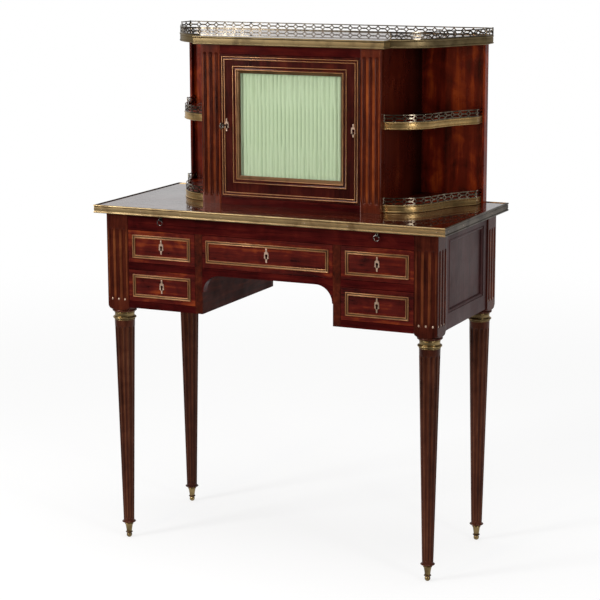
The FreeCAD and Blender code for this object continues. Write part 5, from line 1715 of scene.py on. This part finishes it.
@dataclass
class Gallery:
    """Pierced brass galleries of facing scallops, and the reeded bands under them."""

    height: float = 16.0
    pitch: float = 22.3
    wire: float = 2.1
    wall: float = 1.5
    rail: float = 2.2
    rail_proud: float = 0.1
    overlap: float = 0.6
    bow_steps: int = 14
    bar_steps: int = 6
    post_radius: float = 1.35
    outside: float = 1.0
    end_gap: float = 0.8
    band_thickness: float = 2.0
    band_proud: float = 1.2
    block_half: float = 220.0
    block_gap: float = 3.0
    shelf_start: float = 210.0
    shelf: WingLine = field(default_factory=WingLine)
    top: WingLine = field(default_factory=lambda: WingLine(366.0, 41.8, 190.0, 130.0, 962.0, 703.0))
    runner: LinkRunner = field(default_factory=LinkRunner)

    def link(self, pitch: float) -> Shell:
        """Make one straight repeat: two facing bows, and the rails above and below them.

        Args:
            pitch: The repeat's length.

        Returns:
            The shells, centred on X, with the outside towards +Y.
        """
        half, middle = pitch / 2, self.height / 2
        shells = [self.bar(half, 0.0, self.rail), self.bar(half, self.height - self.rail, self.height)]
        depth = middle - self.rail + self.overlap
        radius = (half * half + depth * depth) / (2 * depth)
        spread = math.asin(half / radius)
        for way in (-1, 1):
            rings = []
            for step in range(self.bow_steps + 1):
                angle = math.pi / 2 + spread - 2 * spread * step / self.bow_steps
                ring = []
                for off, side in ((-1, -1), (1, -1), (1, 1), (-1, 1)):
                    reach = radius + off * self.wire / 2
                    rise = reach * math.sin(angle) - radius + self.wire * 0.35
                    ring.append(Vector((reach * math.cos(angle), side * self.wall / 2,
                                        middle - way * rise)))
                rings.append(ring)
            shells.append(skin(rings))
        return merged(shells)

    def bar(self, half: float, low: float, high: float) -> Shell:
        """Make a straight rail, divided so that it can bend.

        Args:
            half: Half its length.
            low: The height of its foot.
            high: The height of its top.

        Returns:
            The closed shell.
        """
        side = self.wall / 2 + self.rail_proud
        section = ((-side, low), (side, low), (side, high), (-side, high))
        return skin([[Vector((half * (2 * step / self.bar_steps - 1), y, z)) for y, z in section]
                     for step in range(self.bar_steps + 1)])

    def wall_of(self, runs: Sequence[Line], name: str) -> list[Shell]:
        """Grow the gallery on one or more smooth runs.

        Args:
            runs: Paths with the outside on the right of the direction of travel.
            name: A name for the helpers.

        Returns:
            The shells of the wall and of the little posts at the runs' ends.
        """
        shells = []
        for number, run in enumerate(runs):
            length = sum((far - near).length for near, far in zip(run, run[1:]))
            count = max(1, round(length / self.pitch))
            pitch = length / count
            link = stand_in(f"{name}_link", self.link(pitch))
            path = path_curve(f"{name}_path_{number}", run)
            data = self.runner.grow(name, {"Path": path, "Link": link, "Count": count, "Pitch": pitch * MM,
                                           "Material": BRASS_GALLERY.material})
            for used in (link, path):
                bpy.data.objects.remove(used)
            shell = bmesh.new()
            shell.from_mesh(data)
            bpy.data.meshes.remove(data)
            shells.append(shell)
            for end in (run[0], run[-1]):
                top = end.z + self.height
                shells.append(lathe([(self.post_radius, end.z), (self.post_radius, top), (1.0, top + 0.6),
                                     (0.3, top + 0.9)], end.x, end.y, 12))
        return shells

    def build(self) -> None:
        """Make the galleries and bands of the top and the wing shelves."""
        rear_low, rear_high = box_of("top_gallery_back")
        low, high = box_of("cabinet_top")
        inner_y = rear_low.y + self.wall / 2
        rear = [Vector((rear_high.x - self.end_gap, inner_y, high.z)),
                Vector((rear_low.x + self.end_gap, inner_y, high.z))]
        piece("gallery_top_back", merged(self.wall_of([rear], "rear")), BRASS_GALLERY,
              nodes=["top_gallery_back"])
        self.build_top_band(low, high)
        start, back_y = self.block_half + self.block_gap, inner_y - self.end_gap
        for side in Side:
            name = f"top_{side.word}"
            runs = self.runs(self.top, side, start, back_y, high.z)
            piece(f"gallery_{name}", merged(self.wall_of(runs, name)), BRASS_GALLERY,
                  nodes=[f"top_gallery_{side.word}"])
            self.build_shelves(side)

    def build_top_band(self, low: Vector, high: Vector) -> None:
        """Run the reeded band round the cabinet's top, with a square break at its middle.

        Args:
            low: The top's lowest corner.
            high: Its highest corner.
        """
        right = self.edge(self.top, self.block_half, high.y, low.z)
        block = [Vector((sign * self.block_half, low.y, low.z)) for sign in (-1, 1)]
        profile = reeded_profile(self.band_thickness, high.z - low.z, 1.9, self.band_proud)
        piece("top_band_reeded", run_along(self.top.mirrored(right) + block + right, profile),
              BRASS_CORNICE, nodes=["top_band"])

    def build_shelves(self, side: Side) -> None:
        """Make the galleries and bands of both shelves on one side.

        Args:
            side: The side.
        """
        shells, bands = [], []
        for level in SHELVES:
            low, high = box_of(f"{level}_shelf_{side.word}")
            runs = self.runs(self.shelf, side, self.shelf_start, high.y, high.z)
            shells += self.wall_of(runs, f"{level}_{side.word}")
            band = self.edge(self.shelf, self.shelf_start, high.y, low.z)
            if side is Side.LEFT:
                band = self.shelf.mirrored(band)
            profile = reeded_profile(self.band_thickness, high.z - low.z, 1.7, self.band_proud)
            bands.append(run_along(band, profile))
        piece(f"gallery_shelves_{side.word}", merged(shells), BRASS_GALLERY,
              nodes=[f"shelf_galleries_{side.word}"])
        piece(f"shelf_bands_{side.word}", merged(bands), BRASS_BAND)

    def runs(self, line: WingLine, side: Side, start: float, back_y: float,
             height: float) -> list[Line]:
        """Find the two smooth runs of a gallery on one side: the serpentine and the short end.

        Args:
            line: The edge that they follow.
            side: The side.
            start: How far from the middle they start.
            back_y: Where they end.
            height: The height that they stand at.

        Returns:
            The runs, with the outside on the right of the direction of travel.
        """
        found = [line.smooth(self.outside, start, height), line.end(self.outside, back_y, height)]
        return [line.mirrored(run) for run in found] if side is Side.LEFT else found

    @staticmethod
    def edge(line: WingLine, start: float, back_y: float, height: float) -> Line:
        """Return the whole edge of the wood on the right side, from its start to the back."""
        return line.smooth(0.0, start, height) + line.end(0.0, back_y, height)[1:]


# Door ---------------------------------------------------------------------

@dataclass
class Door:
    """The cabinet door: mouldings, glass, pleated silk, keyhole plates, lock and key."""

    window_half: float = 118.0
    sleeves: Point = (8.0, 7.7)
    ledge: float = 17.5
    line_inset: float = 5.6
    sight_lines: Point = (1.9, 9.2)
    plate_height: float = 28.0
    plate_proud: float = 0.6
    pleats: int = 27
    pleat_depth: float = 1.55
    pleat_steps: int = 12
    silk_rows: int = 30
    silk_thickness: float = 0.3

    def build(self) -> None:
        """Make and dress everything on the door."""
        dress(WOOD_UPRIGHT, "door_frame")
        dress(IRON, "door_lock")
        dress(STEEL, "door_key")
        dress(GLASS, "door_glass")
        face = box_of("door_frame")[0].y
        silk_low, silk_high = box_of("door_silk")
        self.build_mouldings(face, silk_low.z + self.sleeves[0], silk_high.z - self.sleeves[1])
        plate_low, plate_high = box_of("door_escutcheons")
        plate = KeyPlate(height=self.plate_height)
        reach = plate_high.x - plate.width / 2
        plates = [plate.shell((x, face - self.plate_proud, (plate_low.z + plate_high.z) / 2))
                  for x in (-reach, reach)]
        piece("door_plates_pierced", merged(plates), BRASS_PLATE, body="door", nodes=["door_escutcheons"])
        self.hang_silk(silk_low, silk_high)

    def build_mouldings(self, face: float, window_low: float, window_high: float) -> None:
        """Run the brass lines, the slope and the mahogany hollows round the door.

        Args:
            face: The face of the frame.
            window_low: The foot of the window.
            window_high: The top of the window.
        """
        line = [(0, 0), (0, 1.8), *arc((0.8, 1.9), 0.8, 180, 0, 8), (1.6, 0)]
        hollow = [(1.3, 0), (1.3, 1.1), *arc((3.6, 3.2), 3.0, 225, 315, 8), (5.9, 1.1), (5.9, 0)]
        cove = [(3.2, 0), (3.2, 1.1), *arc((6.4, 4.6), 4.4, 229, 311, 8), (9.6, 1.1), (9.6, 0)]
        slope = [(10.6, 0), (10.6, 1.3), (11.2, 1.7), (12.4, 0.9), (14.6, -1.2), (15.2, -2.6),
                 (self.ledge, -3.8), (self.ledge, -5.9), (10.6, -5.9)]
        low, high = box_of("door_mouldings")
        inset, half = self.line_inset, self.window_half + self.ledge
        outside = ((low.x, low.z), (high.x, high.z))
        within = ((low.x + inset, low.z + inset), (high.x - inset, high.z - inset))
        sight = ((-half, window_low - self.ledge), (half, window_high + self.ledge))
        lift = facing_front(face)
        brass = [framed(*outside, line, lift), framed(*within, line, lift)]
        for shift in self.sight_lines:
            brass.append(framed(*sight, [(distance + shift, up) for distance, up in line], lift))
        piece("door_mouldings_slope", framed(*sight, slope, lift), BRASS_SLOPE, body="door")
        piece("door_mouldings_lines", merged(brass), BRASS_LINE, body="door", nodes=["door_mouldings"])
        wood = [framed(*outside, hollow, lift), framed(*sight, cove, lift)]
        piece("door_mouldings_hollows", merged(wood), WOOD_UPRIGHT, body="door")

    def hang_silk(self, low: Vector, high: Vector) -> None:
        """Hang the silk in narrow pleats behind the glass.

        Args:
            low: The silk solid's lowest corner.
            high: Its highest corner.
        """
        columns = self.pleats * self.pleat_steps
        middle = (low.y + high.y) / 2
        width, height = high.x - low.x, high.z - low.z
        shell = bmesh.new()
        grid, lengths, hollows = [], [], []
        for row in range(self.silk_rows + 1):
            share = row / self.silk_rows
            line = []
            for column in range(columns + 1):
                fold, squeeze = self.fold_at(column / columns * self.pleats, share)
                # How deep each point lies in its fold, which the silk turns into painted shade.
                hollows.append((1.0 + fold) / 2 * squeeze)
                line.append(Vector((low.x + width * column / columns,
                                    middle + self.pleat_depth * (1.0 - squeeze + fold * squeeze),
                                    low.z + height * share)))
            line[0].x, line[-1].x = low.x, high.x
            lengths.append(sum((far - near).length for near, far in zip(line, line[1:])))
            grid.append([shell.verts.new(point * MM) for point in line])
        for near, far in zip(grid, grid[1:]):
            for column in range(columns):
                shell.faces.new((near[column], near[column + 1], far[column + 1], far[column]))
        data = settled("silk_pleats", mark_hollows(shell, hollows))
        silk = adopt("silk_pleats", data, SILK, "door", ["door_silk"], smooth=180.0)
        thickness = silk.modifiers.new("thickness", "SOLIDIFY")
        thickness.thickness = self.silk_thickness * MM
        thickness.offset = 0.0

    @staticmethod
    def fold_at(phase: float, share: float) -> Point:
        """Find how far a pleat folds at a place. Each pleat leans and deepens a little in its own way.

        Args:
            phase: The place across, counted in pleats.
            share: The place up, from 0 at the foot to 1 at the top.

        Returns:
            The fold, from -1 at its front to 1 at its back, and the pleat's share of the full depth.
        """
        number = int(phase)
        lean = 0.16 * math.sin(number * 2.4 + 1.0) + 0.10 * math.sin(share * 5.1 + number * 1.7)
        held = math.sin(math.pi * min(1.0, share * 3, (1 - share) * 3))
        fold = 1.0 - 2.0 * abs(math.sin(math.pi * (phase + lean * held))) ** 0.7
        return fold, 0.92 + 0.08 * math.sin(number * 1.3 + share * 1.9)


# Studio -------------------------------------------------------------------

@dataclass
class Studio:
    """A pale floor, a white surround, soft lamps and the camera."""

    camera_place: Spot = (1.77, -3.8259, 1.3857)
    yaw: float = 0.4328
    pitch: float = -0.1964
    roll: float = 0.003
    focal_pixels: float = 1957.16
    centre_pixels: Point = (301.41, 299.64)
    image: int = 600
    backdrop_way: Spot = (-0.5, 0.866, 0.0)
    backdrop_turn: Point = (0.40, 1.0)
    backdrop: Point = (0.09, 0.72)
    surround: float = 0.42
    floor_half: float = 9000.0
    floor_depth: float = 20.0
    floor_fade: Point = (1.0, 3.6)
    floor_glow: float = 0.76
    mirrored_reach: Point = (-1.6, 0.6)
    mirrored_glow: Point = (0.07, 0.60)
    floor_tone: Colour = (0.60, 0.60, 0.60)
    shadow_tone: Colour = (0.26, 0.26, 0.26)
    middle: Spot = (0.0, 0.0, 0.65)

    def build(self) -> None:
        """Set up the view settings, world, floor, lamps and camera."""
        bpy.context.scene.view_settings.view_transform = "Standard"
        self.make_world()
        self.make_floor()
        self.add_lamp("key", (-2.1, -2.7, 1.9), (0.7, 1.7), 62.0)
        self.add_lamp("strip", (-0.55, -3.3, 1.5), (0.10, 1.9), 9.0, (1.0, 0.66, 0.38))
        self.add_lamp("fill", (2.7, -1.6, 1.3), (0.5, 1.7), 20.0)
        self.add_lamp("overhead", (0.1, -0.3, 3.2), (1.8, 1.8), 34.0)
        self.make_camera()

    @staticmethod
    def mirrored(bench: NodeBench, rays: bpy.types.Node) -> Socket:
        """Return 1 where a polished surface or glass is looking, and 0 elsewhere."""
        return bench.sum("MAXIMUM", rays.outputs["Is Glossy Ray"], rays.outputs["Is Transmission Ray"])

    @staticmethod
    def glow(bench: NodeBench, strength: object) -> bpy.types.Node:
        """Return a shader that glows white."""
        return bench.node("ShaderNodeEmission", Color=WHITE, Strength=strength)

    def make_world(self) -> None:
        """Light softly from all round, and show white to the camera and a backdrop to mirrors and glass."""
        world = bpy.data.worlds.new("surround")
        bpy.context.scene.world = world
        world.use_nodes = True
        bench = NodeBench(world.node_tree)
        rays = bench.node("ShaderNodeLightPath")
        way = bench.node("ShaderNodeVectorMath", {"operation": "DOT_PRODUCT"}, i0=bench.place(),
                         i1=self.backdrop_way).outputs["Value"]
        backdrop = bench.graded(way, *self.backdrop_turn, *self.backdrop)
        shown_to_polish = bench.node("ShaderNodeMix", {"data_type": "FLOAT"}, i0=self.mirrored(bench, rays),
                                     i2=self.surround, i3=backdrop)
        strength = bench.node("ShaderNodeMix", {"data_type": "FLOAT"}, i0=rays.outputs["Is Camera Ray"],
                              i2=shown_to_polish, i3=1.0)
        lit = bench.node("ShaderNodeBackground", Color=WHITE, Strength=strength)
        bench.node("ShaderNodeOutputWorld", Surface=lit)

    def make_floor(self) -> None:
        """Lay a pale floor that keeps a soft shadow and fades into the surround."""
        half = self.floor_half
        square = ((-half, -half), (half, -half), (half, half), (-half, half))
        shell = skin([[Vector((x, y, -depth)) for x, y in square] for depth in (0.0, self.floor_depth)])
        bmesh.ops.recalc_face_normals(shell, faces=shell.faces[:])
        data = settled("floor", shell)
        data.materials.append(self.floor_material())
        shown("floor", data)

    def floor_material(self) -> bpy.types.Material:
        """Make the floor's material. The camera sees a pale floor that ends in white, polish a softer one.

        Returns:
            The material.
        """
        material = bpy.data.materials.new("pale_floor")
        material.use_nodes = True
        bench = NodeBench(material.node_tree)
        place = bench.place()
        far = bench.graded(bench.length(place), *self.floor_fade, soft=True)
        near = bench.node("ShaderNodeAddShader", i1=self.glow(bench, self.floor_glow),
                          i0=bench.node("ShaderNodeBsdfDiffuse", Color=self.shadow_tone))
        pale = bench.node("ShaderNodeMixShader", i0=far, i1=near, i2=self.glow(bench, 1.0))
        deep = bench.node("ShaderNodeSeparateXYZ", Vector=place).outputs[Axis.Y.value]
        behind = bench.graded(deep, *self.mirrored_reach, *self.mirrored_glow)
        rays = bench.node("ShaderNodeLightPath")
        unseen = bench.node("ShaderNodeMixShader", i0=self.mirrored(bench, rays),
                            i1=bench.node("ShaderNodeBsdfDiffuse", Color=self.floor_tone),
                            i2=self.glow(bench, behind))
        surface = bench.node("ShaderNodeMixShader", i0=rays.outputs["Is Camera Ray"], i1=unseen, i2=pale)
        bench.node("ShaderNodeOutputMaterial", Surface=surface)
        return material

    def add_lamp(self, name: str, place: Spot, size: Point, power: float,
                 colour: Colour = WHITE) -> None:
        """Hang a soft lamp that looks at the middle of the object.

        Args:
            name: The lamp's name.
            place: Where it hangs, in metres.
            size: Its width and height, in metres.
            power: Its power, in watts.
            colour: Its colour.
        """
        data = bpy.data.lights.new(name, "AREA")
        data.shape = "RECTANGLE"
        data.size, data.size_y = size
        data.energy = power
        data.color = colour
        lamp = shown(name, data)
        lamp.location = place
        lamp.rotation_euler = (Vector(self.middle) - Vector(place)).to_track_quat("-Z", "Y").to_euler()

    def make_camera(self) -> None:
        """Place the camera at the viewing angle."""
        data = bpy.data.cameras.new("camera")
        data.sensor_fit = "HORIZONTAL"
        data.lens = self.focal_pixels * data.sensor_width / self.image
        data.shift_x = (self.image / 2 - self.centre_pixels[0]) / self.image
        data.shift_y = (self.centre_pixels[1] - self.image / 2) / self.image
        camera = shown("camera", data)
        camera.location = self.camera_place
        camera.rotation_euler = (math.pi / 2 + self.pitch, self.roll, self.yaw)
        bpy.context.scene.camera = camera


def corners(bounds: Sequence) -> list[list[float]]:
    """Return a box's two corners as plain lists of numbers."""
    return [[float(value) for value in corner] for corner in bounds]


def main() -> None:
    """Build every sub-assembly in order."""
    logging.basicConfig(level=logging.INFO, format="%(name)s: %(message)s")
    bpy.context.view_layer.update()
    for part in (DeskTop(), Legs(), Carcass(), WritingSlide(), Drawers(), Cabinet(), Gallery(), Door(),
                 Studio()):
        LOG.info("building %s", type(part).__name__)
        part.build()


if __name__ == "__main__":
    main()
